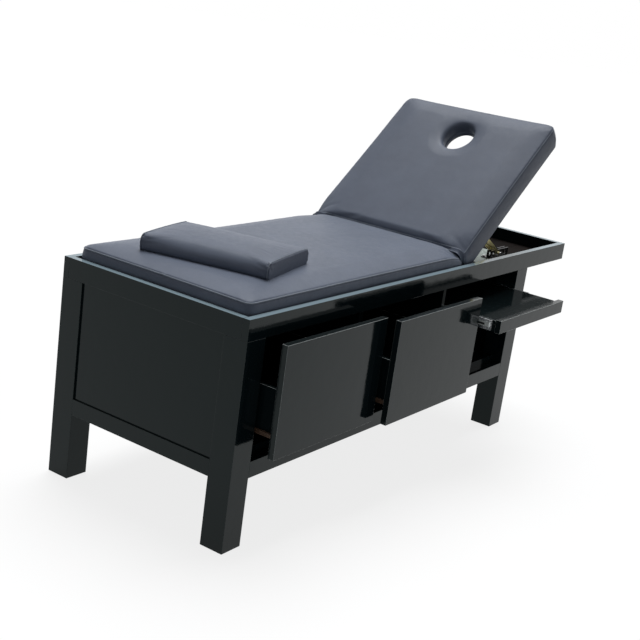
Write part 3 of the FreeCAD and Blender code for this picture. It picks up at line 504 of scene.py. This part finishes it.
def tube(name, points, radius, closed=False):
    """The round, pressed edge of a seam along a list of points, drawn in at its ends."""
    sides = 10
    count = len(points)
    rings = []
    normal = None
    for k, point in enumerate(points):
        ahead = points[(k + 1) % count] if closed or k < count - 1 else point
        behind = points[k - 1] if closed or k else point
        way = (ahead - behind).normalized()
        if normal is None:
            normal = way.orthogonal().normalized()
        normal = (normal - way * normal.dot(way)).normalized()
        across = way.cross(normal)
        size = radius if closed or 0 < k < count - 1 else radius * 0.35
        rings.append([point + (normal * math.cos(a) + across * math.sin(a)) * size
                      for a in (2 * math.pi * n / sides for n in range(sides))])
    verts = [p for ring in rings for p in ring]
    faces = []
    for r in range(count if closed else count - 1):
        for k in range(sides):
            a, b = r * sides + k, r * sides + (k + 1) % sides
            c, d = ((r + 1) % count) * sides + (k + 1) % sides, ((r + 1) % count) * sides + k
            faces.append((a, b, c, d))
    if not closed:
        faces.append(tuple(range(sides - 1, -1, -1)))
        faces.append(tuple(range((count - 1) * sides, count * sides)))
    mesh = bpy.data.meshes.new(name)
    mesh.from_pydata(verts, [], faces)
    smooth_shaded(mesh)
    return mesh


def subtract(piece, mesh, solver="MANIFOLD"):
    """Cuts a closed mesh out of a piece."""
    plug = bpy.data.objects.new("plug", mesh)
    scene.collection.objects.link(plug)
    cutter = piece.modifiers.new("cut", "BOOLEAN")
    cutter.operation = "DIFFERENCE"
    cutter.solver = solver
    cutter.object = plug
    settle(piece)
    bpy.data.objects.remove(plug)


def box_mesh(low, high):
    """A box between two corners."""
    mesh = bpy.data.meshes.new("box")
    form = bmesh.new()
    bmesh.ops.create_cube(form, size=1)
    size = Vector(high) - Vector(low)
    place = Matrix.Translation((Vector(low) + Vector(high)) / 2) @ Matrix.Diagonal((*size, 1))
    bmesh.ops.transform(form, matrix=place, verts=form.verts)
    form.to_mesh(mesh)
    form.free()
    return mesh


def ease(value):
    """0 below 0, 1 above 1, and smooth between them."""
    value = min(1.0, max(0.0, value))
    return value * value * (3 - 2 * value)


# Upholstery

def pad_form(length, width):
    """The closed form of a box cushion: a border up to the seam, and a crowned top above it."""
    border = [(-BELOW, PAD_TUCK), (PAD_SEAM / 3, 0), (PAD_SEAM * 2 / 3, 0), (PAD_SEAM, PAD_TUCK / 2)]
    top = [(PAD_SEAM + rise * PAD_CROWN, share * min(length, width)) for rise, share in CROWN_SHARES]
    rings = [outline(inset, inset, length - inset, width - inset, PAD_CORNER, PAD_DRAW_IN, RING_STEP)
             for _, inset in border + top]
    count = min(len(ring) for ring in rings)
    even = [resampled(ring, count) for ring in rings]
    for ring, (z, _) in zip(even, border + top):
        for point in ring:
            point.z = z
    return loft(even)


def resampled(points, count):
    """As many points, evenly spaced round a closed line."""
    closed = points + points[:1]
    lengths = [0.0]
    for a, b in zip(closed, closed[1:]):
        lengths.append(lengths[-1] + (b - a).length)
    out = []
    k = 0
    for n in range(count):
        goal = lengths[-1] * n / count
        while lengths[k + 1] < goal:
            k += 1
        share = (goal - lengths[k]) / (lengths[k + 1] - lengths[k])
        out.append(closed[k].lerp(closed[k + 1], share))
    return out


def along(points, step):
    """Points at an even step along an open line."""
    lengths = [0.0]
    for a, b in zip(points, points[1:]):
        lengths.append(lengths[-1] + (b - a).length)
    count = max(2, round(lengths[-1] / step))
    out = []
    k = 0
    for n in range(count + 1):
        goal = lengths[-1] * n / count
        while k < len(points) - 2 and lengths[k + 1] < goal:
            k += 1
        share = (goal - lengths[k]) / (lengths[k + 1] - lengths[k])
        out.append(points[k].lerp(points[k + 1], share))
    return out


def remeshed(piece, voxel, rounds):
    """Gives a form an even mesh, a little smoothed."""
    remesh = piece.modifiers.new("remesh", "REMESH")
    remesh.mode = "VOXEL"
    remesh.voxel_size = voxel
    soften = piece.modifiers.new("soften", "SMOOTH")
    soften.iterations = rounds
    soften.factor = 0.5
    settle(piece)


def puffed(piece, held, cap):
    """Blows the cover up under pressure. held says how firmly a point stays, cap how far it may go."""
    frames = 20
    before = [v.co.copy() for v in piece.data.vertices]
    pins = piece.vertex_groups.new(name="pins")
    for k, co in enumerate(before):
        pins.add([k], held(co), "REPLACE")
    cloth = piece.modifiers.new("cloth", "CLOTH")
    settings = cloth.settings
    settings.quality = 4
    settings.use_pressure = True
    settings.uniform_pressure_force = 4
    settings.vertex_group_mass = "pins"
    settings.effector_weights.gravity = 0
    settings.tension_stiffness = 15
    settings.compression_stiffness = 15
    settings.bending_stiffness = 0.5
    cloth.point_cache.frame_start = 1
    cloth.point_cache.frame_end = frames
    for number in range(1, frames + 1):
        scene.frame_set(number)
    after = evaluated(piece)
    moved = [v.co.copy() for v in after.vertices]
    bpy.data.meshes.remove(after)
    piece.modifiers.clear()
    scene.frame_set(1)
    for vertex, old, new in zip(piece.data.vertices, before, moved):
        shift = new - old
        limit = cap(old)
        if shift.length > limit:
            shift = shift.normalized() * limit
        vertex.co = old + shift
    piece.vertex_groups.clear()


def divided(piece):
    """Makes a cover's mesh finer and rounder."""
    once = piece.modifiers.new("divide", "SUBSURF")
    once.levels = 1
    once.render_levels = 1
    settle(piece)


# How far a seam or a knot is felt, in its own reaches, and how many puckers run along a metre
SEAM_FAR = 8
KNOT_FAR = 5
PUCKER_SCALE = 70


def sewn(piece, seams, depth, reach, pucker):
    """Presses the seams into a cover, with short puckers running away from them."""
    points = [p for seam in seams for p in seam]
    tree = KDTree(len(points))
    for k, point in enumerate(points):
        tree.insert(point, k)
    tree.balance()
    mesh = piece.data
    normals = [v.normal.copy() for v in mesh.vertices]
    for vertex, normal in zip(mesh.vertices, normals):
        point, k, distance = tree.find(vertex.co)
        if distance > SEAM_FAR * reach:
            continue
        groove = depth * math.exp(-(distance / reach) ** 2)
        wrinkle = noise.noise(point * PUCKER_SCALE + Vector((0, 0, distance * 9)))
        fade = math.exp(-distance / (3 * reach)) * (1 - math.exp(-(distance / reach) ** 2))
        vertex.co -= normal * (groove + pucker * wrinkle * fade)
    mesh.update()


def pinched(piece, places, depth, reach):
    """Draws a cover in at the knots of its seams, with small folds running out of them."""
    mesh = piece.data
    normals = [v.normal.copy() for v in mesh.vertices]
    for vertex, normal in zip(mesh.vertices, normals):
        for k, place in enumerate(places):
            way = vertex.co - place
            if way.length > KNOT_FAR * reach:
                continue
            near = way.length / reach
            ridge = noise.noise(way.normalized() * 2.6 + Vector((k * 7, 0, 0))) * near * math.exp(1 - near)
            vertex.co -= normal * depth * (math.exp(-near * near) + 0.8 * ridge)
    mesh.update()


def surface_tree(mesh):
    """A mesh's faces, to be searched for the nearest or the first one hit."""
    return BVHTree.FromPolygons([v.co for v in mesh.vertices], [tuple(p.vertices) for p in mesh.polygons])


def seam_cord(name, piece, points, radius, lift):
    """A pressed edge that lies along a cover's seam."""
    tree = surface_tree(piece.data)
    laid = []
    for point in points:
        place, normal, _, _ = tree.find_nearest(point)
        laid.append(place + normal * lift)
    for _ in range(3):
        laid = [laid[0]] + [(a + 2 * b + c) / 4 for a, b, c in zip(laid, laid[1:], laid[2:])] + [laid[-1]]
    return tube(name, laid, radius)


def border_seam(length, width, inset):
    """The line of the seam from the fold round the far end and back, in a pad's frame."""
    past = 0.3
    ring = outline(inset - past, inset, length - inset, width - inset, PAD_CORNER, PAD_DRAW_IN, SEAM_STEP)
    lean = (PAD_SEAM - HINGE_HEIGHT) * math.tan(math.radians(FOLD_LEAN))
    ring = [Vector((p.x, p.y, PAD_SEAM)) for p in ring if p.x > lean + SEAM_STEP]
    gap = max(range(len(ring)), key=lambda k: (ring[k] - ring[k - 1]).length)
    return ring[gap:] + ring[:gap]


def fold_seam(width):
    """The line of the seam over a pad's end at the fold: up one side, across the top and down the other."""
    tan = math.tan(math.radians(FOLD_LEAN))
    round_off = FOLD_SEAM_ROUND

    def at(y, z):
        return Vector((max(0.0, (z - HINGE_HEIGHT) * tan) + 1 * MM, y, z))

    low = HINGE_HEIGHT - 22 * MM
    high = PAD_SEAM + FOLD_SEAM_RISE
    side = [at(0, low + (high - round_off - low) * n / 12) for n in range(12)]
    turn = [at(round_off * (1 - math.cos(a)), high - round_off * (1 - math.sin(a)))
            for a in (math.pi / 2 * n / 12 for n in range(13))]
    half = side + turn
    other = [Vector((p.x, width - p.y, p.z)) for p in reversed(half)]
    return along(half + other, SEAM_STEP)


class Pad:
    """One of the two pads. Its frame is the CAD's: X runs from the fold, Z up from the underside."""

    def __init__(self, name, body, node, matrix):
        self.name = name
        self.body = body
        self.node = node
        self.matrix = matrix
        inverse = matrix.inverted()
        points = [inverse @ v.co for v in frame["nodes"][node].data.vertices]
        self.length = max(p.x for p in points)
        self.width = max(p.y for p in points)

    def form(self):
        """The cushion's form, cut off square at the fold below the hinge and leaning back above it."""
        mesh = pad_form(self.length + PAST_FOLD, self.width)
        mesh.transform(Matrix.Translation((-PAST_FOLD, 0, 0)))
        form = bmesh.new()
        form.from_mesh(mesh)
        lean = math.radians(FOLD_LEAN)
        hinge = Vector((0, 0, HINGE_HEIGHT))
        leaning = Vector((-math.cos(lean), 0, math.sin(lean)))
        for place, normal in ((Vector(), Vector((-1, 0, 0))), (hinge, leaning)):
            parts = form.verts[:] + form.edges[:] + form.faces[:]
            cut = bmesh.ops.bisect_plane(form, geom=parts, plane_co=place, plane_no=normal, clear_outer=True)
            edges = [e for e in cut["geom_cut"] if isinstance(e, bmesh.types.BMEdge)]
            bmesh.ops.holes_fill(form, edges=edges)
        form.to_mesh(mesh)
        form.free()
        return mesh

    def held(self, co):
        """Firm on the frame and inside the rim, and along the seams."""
        low = 1 - ease((co.z - HELD_BELOW) / HELD_FADE)
        seam = 1 - ease(abs(co.z - PAD_SEAM) / SEAM_HOLD) if self.border(co) < SEAM_HOLD_IN else 0.0
        return max(low, SEAM_FIRM * seam)

    def border(self, co):
        """How far in from the sides or the far end."""
        return min(co.y, self.width - co.y, self.length - co.x)

    def cap(self, co):
        """How far the cover may swell: little on the border, more on top."""
        if co.z < BORDER_TOP:
            return BORDER_SWELL
        return TOP_SWELL

    def drop(self, piece):
        """Rounds the top off where the fold meets the sides."""
        for vertex in piece.data.vertices:
            co = vertex.co
            near_fold = 1 - ease(co.x / FOLD_DROP_ALONG)
            near_side = 1 - ease(min(co.y, self.width - co.y) / FOLD_DROP_SIDE)
            high = ease((co.z - FOLD_DROP_FROM) / FOLD_DROP_OVER)
            co.z -= FOLD_DROP * near_fold * near_side * high

    def swell(self, piece):
        """Rolls the upper end at the fold out a little, where the filling presses it."""
        tan = math.tan(math.radians(FOLD_LEAN))
        for vertex in piece.data.vertices:
            co = vertex.co
            face = max(0.0, (co.z - HINGE_HEIGHT) * tan)
            near = 1 - ease((co.x - face) / FOLD_SWELL_ALONG)
            high = ease((co.z - FOLD_SWELL_FROM) / FOLD_SWELL_OVER)
            inner = ease(min(co.y, self.width - co.y) / FOLD_SWELL_SIDE)
            co.x -= FOLD_SWELL * near * high * inner

    def make(self, radii, hole=False, puckers=()):
        """Forms, fills and sews the pad. radii are those of the pressed edges round it and over its fold."""
        piece = new_piece(self.name, self.form(), FINISHES["upholstery"])
        if hole:
            subtract(piece, self.hole_plug(), "EXACT")
        remeshed(piece, voxel=7 * MM, rounds=3)
        puffed(piece, self.held, self.cap)
        self.drop(piece)
        self.swell(piece)
        divided(piece)
        edge = PAD_TUCK / 2
        seams = [border_seam(self.length, self.width, edge), fold_seam(self.width)]
        sewn(piece, seams, depth=2.0 * MM, reach=4.5 * MM, pucker=1.0 * MM)
        inverse = self.matrix.inverted()
        pinched(piece, [inverse @ Vector(place) for place in puckers], depth=1.6 * MM, reach=6 * MM)
        cords = [seam_cord(f"{self.name}_seam_{k}", piece, seam, radius, lift=0.5 * MM)
                 for k, (seam, radius) in enumerate(zip(seams, radii), 1)]
        self.hollow(piece)
        smooth_shaded(piece.data)
        piece.data.transform(self.matrix)
        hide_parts(self.node)
        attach(piece, self.body)
        for k, mesh in enumerate(cords, 1):
            mesh.transform(self.matrix)
            cord = new_piece(f"{self.name}_seam_{k}", mesh, SEAM_FINISH)
            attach(cord, self.body)

    def hollow(self, piece):
        """Cuts the pad flat at its underside, and makes room in it for its wooden frame."""
        beyond, step = 40 * MM, 40 * MM
        under = box_mesh((-beyond, -beyond, -beyond), (self.length + beyond, self.width + beyond, 0))
        subtract(piece, under)
        low, high = (outline(-2 * beyond, PAD_SKIRT, self.length - PAD_SKIRT, self.width - PAD_SKIRT,
                             FRAME_CORNER, 0, step) for _ in range(2))
        for point in low:
            point.z = -5 * MM
        for point in high:
            point.z = PAD_ROOM
        subtract(piece, loft([low, high]))

    def hole_plug(self):
        """An oval shaft, widened at the top as the foam rolls into it."""
        levels = [(-10 * MM, 0), (PAD_SEAM - 4 * MM, 0), (PAD_SEAM + PAD_CROWN * 0.45, 0.18 * HOLE_FLARE),
                  (PAD_SEAM + PAD_CROWN * 0.8, 0.5 * HOLE_FLARE),
                  (PAD_SEAM + PAD_CROWN + 3 * MM, 1.1 * HOLE_FLARE)]
        return loft([hole_ring(self.width / 2, grow, z, 72) for z, grow in levels])


def hole_ring(middle, grow, z, steps):
    """The face hole's oval at one height, in the backrest's frame, wider all round by grow."""
    return [Vector((HOLE_PLACE + (HOLE_LENGTH / 2 + grow) * math.cos(a),
                    middle + (HOLE_WIDTH / 2 + grow) * math.sin(a), z))
            for a in (2 * math.pi * n / steps for n in range(steps))]


TILT = next(j for j in frame["joints"] if j["name"] == "backrest_tilt")
HINGE = Vector(TILT["pos_m"])
BACK_ANGLE = -TILT["range_deg"][0]


def pad_frames():
    """The matrices that take the two pads' own frames to their places."""
    low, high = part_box("seat_cushion")
    seat = Matrix.Translation((high[0], high[1], low[2])) @ Matrix.Rotation(math.pi, 4, "Z")
    raised = Matrix.Rotation(-math.radians(BACK_ANGLE), 4, "Y")
    at_hinge = Matrix.Translation((HINGE.x, low[1], HINGE.z))
    back = at_hinge @ raised @ Matrix.Translation((FOLD_GAP, 0, -HINGE_HEIGHT))
    return seat, back


def pads():
    """Both pads, and the lining of the face hole."""
    seat, back = pad_frames()
    Pad("seat_pad", "base", "seat_cushion", seat).make(SEAT_SEAMS, puckers=PUCKERS)
    Pad("back_pad", "backrest", "back_cushion", back).make(BACK_SEAMS, hole=True)
    hole_lining(back)


def hole_lining(matrix):
    """The leather that lines the face hole down through the plywood, and is turned out under it."""
    low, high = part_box("seat_cushion")
    wide = high[1] - low[1]
    outer, inner = -LINING_PLAY, -LINING_PLAY - LINING_WALL
    upper, lower = LINING_UNDER - 0.2 * MM, LINING_UNDER - LINING_WALL
    profile = [(outer, LINING_TOP), (outer, upper), (LINING_FLANGE, upper), (LINING_FLANGE, lower),
               (inner, lower), (inner, LINING_TOP)]
    steps = 96
    verts = []
    for grow, z in profile:
        verts += hole_ring(wide / 2, grow, z, steps)
    rows = len(profile)
    faces = [(r * steps + n, r * steps + (n + 1) % steps, (r + 1) % rows * steps + (n + 1) % steps,
              (r + 1) % rows * steps + n) for r in range(rows) for n in range(steps)]
    mesh = bpy.data.meshes.new("hole_lining")
    mesh.from_pydata(verts, [], faces)
    smooth_shaded(mesh)
    mesh.transform(matrix)
    piece = new_piece("hole_lining", mesh, FINISHES["upholstery"])
    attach(piece, "backrest")


def crease():
    """The strip of leather sewn into the fold, its far edge set at the backrest's angle."""
    low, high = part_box("seat_cushion")
    tan = math.tan(math.radians(FOLD_LEAN))
    turn = Matrix.Rotation(-math.radians(BACK_ANGLE), 3, "Y")
    wide = high[1] - low[1]

    def row(y, height, inward):
        """One line of the strip, from the seat's end to the backrest's, sagging inwards between them."""
        reach_in, further, near_side = 1.5, 4, 45 * MM
        inside = (reach_in + further * (1 - ease(min(y, wide - y) / near_side))) * MM
        reach = FOLD_GAP + max(0.0, height) * tan + inside
        near = Vector((-reach, 0, height))
        far = turn @ Vector((reach, 0, height))
        sag = (near + far) / 2 + Vector((0, inward[0], inward[1])) * 2 * FOLD_SAG
        shares = [n / (points - 1) for n in range(points)]
        line = [near * (1 - t) ** 2 + sag * 2 * t * (1 - t) + far * t ** 2 for t in shares]
        return [Vector((HINGE.x + p.x, y + p.y, HINGE.z + p.z)) for p in line]

    points = 15
    side, round_off = FOLD_STRIP_SIDE, FOLD_STRIP_ROUND
    path = [(side, h * MM) for h in (-12, -4, 4)]
    for n in range(9):
        a = math.pi / 2 * n / 8
        path.append((side + round_off * (1 - math.cos(a)), FOLD_STRIP_HIGH - round_off * (1 - math.sin(a))))
    across = [side + round_off + (wide - 2 * side - 2 * round_off) * n / 50 for n in range(1, 50)]
    path = path + [(y, FOLD_STRIP_HIGH) for y in across] + [(wide - y, h) for y, h in reversed(path)]
    verts = []
    for k, (y, height) in enumerate(path):
        before, after = path[max(0, k - 1)], path[min(len(path) - 1, k + 1)]
        ahead = Vector((after[0] - before[0], after[1] - before[1])).normalized()
        verts += row(low[1] + y, height, (ahead.y, -ahead.x))
    corners = [(a * points + b, (a + 1) * points + b)
               for a in range(len(path) - 1) for b in range(points - 1)]
    faces = [(here, here + 1, there + 1, there) for here, there in corners]
    mesh = bpy.data.meshes.new("fold_strip")
    mesh.from_pydata(verts, [], faces)
    piece = new_piece("fold_strip", mesh, FINISHES["upholstery"])
    thick = piece.modifiers.new("thick", "SOLIDIFY")
    thick.thickness = FOLD_STRIP_WALL
    thick.offset = 0
    settle(piece)
    smooth_shaded(piece.data)
    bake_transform(piece)


def pillow_form(width, length):
    """A padded box. Its top rolls over its long sides, and comes to tighter edges at its ends."""
    rings = []
    count = 42
    for n in range(count + 1):
        y = length * n / count
        inner = ease(min(y, length - y) / PILLOW_END)
        roll = PILLOW_EDGE + (PILLOW_ROLL - PILLOW_EDGE) * inner
        crown = PILLOW_CROWN * (0.25 + 0.75 * inner)
        foot = (9 + 5 * inner) * MM
        ring = []
        for x, z, r, start, steps in ((foot, foot, foot, 180, 5), (width - foot, foot, foot, 270, 5),
                                      (width - roll, PILLOW_SEAM - roll, roll, 0, 12)):
            ring += [Vector((x + r * math.cos(a), y, z + r * math.sin(a)))
                     for a in (math.radians(start + 90 * k / steps) for k in range(steps + 1))]
        for k in range(1, 24):
            share = k / 24
            rise = crown * (1 - abs(2 * share - 1) ** 2.5)
            ring.append(Vector((width - roll - (width - 2 * roll) * share, y, PILLOW_SEAM + rise)))
        ring += [Vector((roll + roll * math.cos(a), y, PILLOW_SEAM - roll + roll * math.sin(a)))
                 for a in (math.radians(90 + 90 * k / 12) for k in range(13))]
        rings.append(ring)
    return loft(rings)


def cap_ring(tree, width, y):
    """The line of a cap's seam round the pillow, near one of its ends."""
    middle = Vector((width / 2, y, PILLOW_SEAM / 2))
    hits = []
    rays = 240
    for n in range(rays):
        a = 2 * math.pi * n / rays
        way = Vector((math.cos(a) * width, 0, math.sin(a) * PILLOW_SEAM)).normalized()
        hit = tree.ray_cast(middle, way)[0]
        if hit is not None:
            hits.append(hit)
    return along(hits + hits[:1], 3 * MM)


def pillow():
    """The loose pillow: a rolled box with a sewn cap at each end, drawn in at the corners of the caps."""
    node = frame["nodes"]["pillow"]
    turn = Matrix.Rotation(math.radians(PILLOW_TURN), 4, "Z")
    points = [turn.inverted() @ v.co for v in node.data.vertices]
    low = Vector([min(p[k] for p in points) for k in range(3)])
    high = Vector([max(p[k] for p in points) for k in range(3)])
    width, length = (high - low).x, (high - low).y
    matrix = turn @ Matrix.Translation(low)
    piece = new_piece("soft_pillow", pillow_form(width, length), FINISHES["upholstery"])
    remeshed(piece, voxel=4.5 * MM, rounds=2)

    def held(co):
        at_end = 1 - ease(min(co.y, length - co.y) / PILLOW_HELD_END)
        at_edge = 1 - ease(min(co.x, width - co.x, PILLOW_SEAM - co.z) / PILLOW_HELD_EDGE)
        return max(1 - ease(co.z / PILLOW_HELD_FOOT), PILLOW_FIRM * at_end * at_edge)

    puffed(piece, held, lambda co: PILLOW_SWELL)
    divided(piece)
    tree = surface_tree(piece.data)
    rings = [cap_ring(tree, width, y) for y in (CAP_SEAM, length - CAP_SEAM)]
    sewn(piece, rings, depth=1.3 * MM, reach=3 * MM, pucker=0.35 * MM)
    knots = []
    for ring in rings:
        for x in (0, width):
            for z in (3 * MM, PILLOW_SEAM):
                goal = Vector((x, ring[0].y, z))
                knots.append(min(ring, key=lambda p: (p - goal).length))
    pinched(piece, knots, depth=3.2 * MM, reach=6 * MM)
    smooth_shaded(piece.data)
    piece.data.transform(matrix)
    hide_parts("pillow")
    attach(piece, "pillow")
    for k, ring in enumerate(rings, 1):
        mesh = tube(f"pillow_seam_{k}", ring[:-1], 1.4 * MM, closed=True)
        mesh.transform(matrix)
        cord = new_piece(f"pillow_seam_{k}", mesh, SEAM_FINISH)
        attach(cord, "pillow")


# Small steel parts

def joined(name, boxes, material):
    """One piece of several boxes."""
    form = bmesh.new()
    for low, high in boxes:
        mesh = box_mesh(low, high)
        form.from_mesh(mesh)
        bpy.data.meshes.remove(mesh)
    mesh = bpy.data.meshes.new(name)
    form.to_mesh(mesh)
    form.free()
    return new_piece(name, mesh, material)


def slide_pressings():
    """What is pressed into the tray's slides: ribs and slots on the middle channels, ridges and slots in the
    inner.
    The ribs and ridges are a painted highlight, the slots dark patches of painted shade.
    """
    ribs, slots = [], []
    low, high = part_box("tray_slide_middles")
    middle = (low[2] + high[2]) / 2
    for x0, x1 in ((low[0] - SLIDE_PROUD, low[0]), (high[0], high[0] + SLIDE_PROUD)):
        for z in (low[2] + SLIDE_EDGE, high[2] - SLIDE_EDGE - SLIDE_RIB):
            ribs.append(((x0, low[1] + SLIDE_EDGE, z), (x1, high[1] - SLIDE_EDGE, z + SLIDE_RIB)))
        for y in SLIDE_SLOTS:
            y0, y1 = low[1] + y * MM, low[1] + (y + SLIDE_SLOT_LENGTH) * MM
            slots.append(((x0, y0, middle - SLIDE_SLOT_UP), (x1, y1, middle + SLIDE_SLOT_UP)))
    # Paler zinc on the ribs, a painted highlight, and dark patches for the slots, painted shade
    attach(joined("slide_ribs", ribs, RIB_HIGHLIGHT_FINISH), "tray_middles")
    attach(joined("slide_slot_shade", slots, FINISHES["black_steel"]), "tray_middles")

    low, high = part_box("tray_slide_inners")
    ridges, slots = [], []
    for face, way in ((low[0], 1), (high[0], -1)):
        inside = face + way * (INNER_DEPTH - INNER_WALL)
        top = inside - way * RIDGE_RISE
        x0, x1 = sorted((inside, top))
        y0, y1 = low[1] + RIDGE_END, high[1] - RIDGE_END
        ridges.append(((x0, y0, middle - RIDGE_HALF), (x1, y1, middle + RIDGE_HALF)))
        x0, x1 = sorted((top, top - way * RIDGE_SLOT_PROUD))
        for y in RIDGE_SLOTS:
            y0, y1 = low[1] + y * MM, low[1] + (y + RIDGE_SLOT_LENGTH) * MM
            slots.append(((x0, y0, middle - RIDGE_SLOT_DOWN), (x1, y1, middle + RIDGE_SLOT_UP)))
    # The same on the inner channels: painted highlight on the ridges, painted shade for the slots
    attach(joined("slide_ridges", ridges, RIB_HIGHLIGHT_FINISH), "tray")
    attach(joined("slide_opening_shade", slots, FINISHES["black_steel"]), "tray")


# The stage

def pale(name, colour, lift):
    """A plain pale surface that shows white to the camera and in reflections, under the object's shadow."""
    material = bpy.data.materials.new(name)
    material.use_nodes = True
    tree = material.node_tree
    tree.nodes.clear()
    diffuse = tree.nodes.new("ShaderNodeBsdfDiffuse")
    diffuse.inputs["Color"].default_value = (*colour, 1)
    glow = tree.nodes.new("ShaderNodeEmission")
    path = tree.nodes.new("ShaderNodeLightPath")
    either = seen(tree, path)
    level = tree.nodes.new("ShaderNodeMath")
    level.operation = "MULTIPLY"
    level.inputs[1].default_value = lift
    tree.links.new(either, level.inputs[0])
    tree.links.new(level.outputs[0], glow.inputs["Strength"])
    both = tree.nodes.new("ShaderNodeAddShader")
    tree.links.new(diffuse.outputs[0], both.inputs[0])
    tree.links.new(glow.outputs[0], both.inputs[1])
    out = tree.nodes.new("ShaderNodeOutputMaterial")
    tree.links.new(both.outputs[0], out.inputs["Surface"])
    return material


def seen(tree, path):
    """1 for rays from the camera, in reflections and through glass, and 0 for the rest."""
    total = path.outputs["Is Camera Ray"]
    for word in ("Is Glossy Ray", "Is Transmission Ray"):
        highest = tree.nodes.new("ShaderNodeMath")
        highest.operation = "MAXIMUM"
        tree.links.new(total, highest.inputs[0])
        tree.links.new(path.outputs[word], highest.inputs[1])
        total = highest.outputs[0]
    return total


def floor():
    """The white ground that the bed stands on."""
    form = bmesh.new()
    bmesh.ops.create_circle(form, cap_ends=True, segments=64, radius=FLOOR_RADIUS)
    mesh = bpy.data.meshes.new("floor")
    form.to_mesh(mesh)
    form.free()
    piece = bpy.data.objects.new("floor", mesh)
    scene.collection.objects.link(piece)
    mesh.materials.append(pale("floor_finish", FLOOR_COLOUR, FLOOR_LIFT))


def world():
    """White to the eye and in reflections, and a plain low light on the object."""
    sky = bpy.data.worlds.new("studio")
    scene.world = sky
    sky.use_nodes = True
    tree = sky.node_tree
    tree.nodes.clear()
    path = tree.nodes.new("ShaderNodeLightPath")
    either = seen(tree, path)
    level = tree.nodes.new("ShaderNodeMapRange")
    level.inputs["To Min"].default_value = SKY_LEVEL
    level.inputs["To Max"].default_value = 1.0
    tree.links.new(either, level.inputs["Value"])
    background = tree.nodes.new("ShaderNodeBackground")
    background.inputs["Color"].default_value = (1, 1, 1, 1)
    tree.links.new(level.outputs["Result"], background.inputs["Strength"])
    out = tree.nodes.new("ShaderNodeOutputWorld")
    tree.links.new(background.outputs[0], out.inputs["Surface"])


def lamps():
    """The one soft lamp."""
    data = bpy.data.lights.new("overhead", "SUN")
    data.angle = math.radians(LAMP_ANGLE)
    data.energy = LAMP_LEVEL
    data.color = LAMP_COLOUR
    lamp = bpy.data.objects.new("overhead", data)
    scene.collection.objects.link(lamp)
    lamp.rotation_euler = (-Vector(LAMP_FROM)).to_track_quat("-Z", "Y").to_euler()


def camera():
    """The camera, where the photograph was taken."""
    yaw, dip, roll = (math.radians(a) for a in (CAMERA_YAW, CAMERA_DIP, CAMERA_ROLL))
    ahead = Vector((math.sin(yaw) * math.cos(dip), math.cos(yaw) * math.cos(dip), -math.sin(dip)))
    right = Vector((math.cos(yaw), -math.sin(yaw), 0))
    up = right.cross(ahead)
    turned_right = right * math.cos(roll) + up * math.sin(roll)
    turned_up = up * math.cos(roll) - right * math.sin(roll)
    data = bpy.data.cameras.new("camera")
    data.sensor_width = SENSOR
    data.lens = CAMERA_LENS
    data.clip_end = 100
    eye = bpy.data.objects.new("camera", data)
    scene.collection.objects.link(eye)
    turn = Matrix((turned_right, turned_up, -ahead)).transposed().to_4x4()
    eye.matrix_world = Matrix.Translation(CAMERA_PLACE) @ turn
    scene.camera = eye


camera()
floor()
world()
lamps()
scene.view_settings.view_transform = "Standard"

dress_nodes()
pads()
crease()
pillow()
slide_pressings()
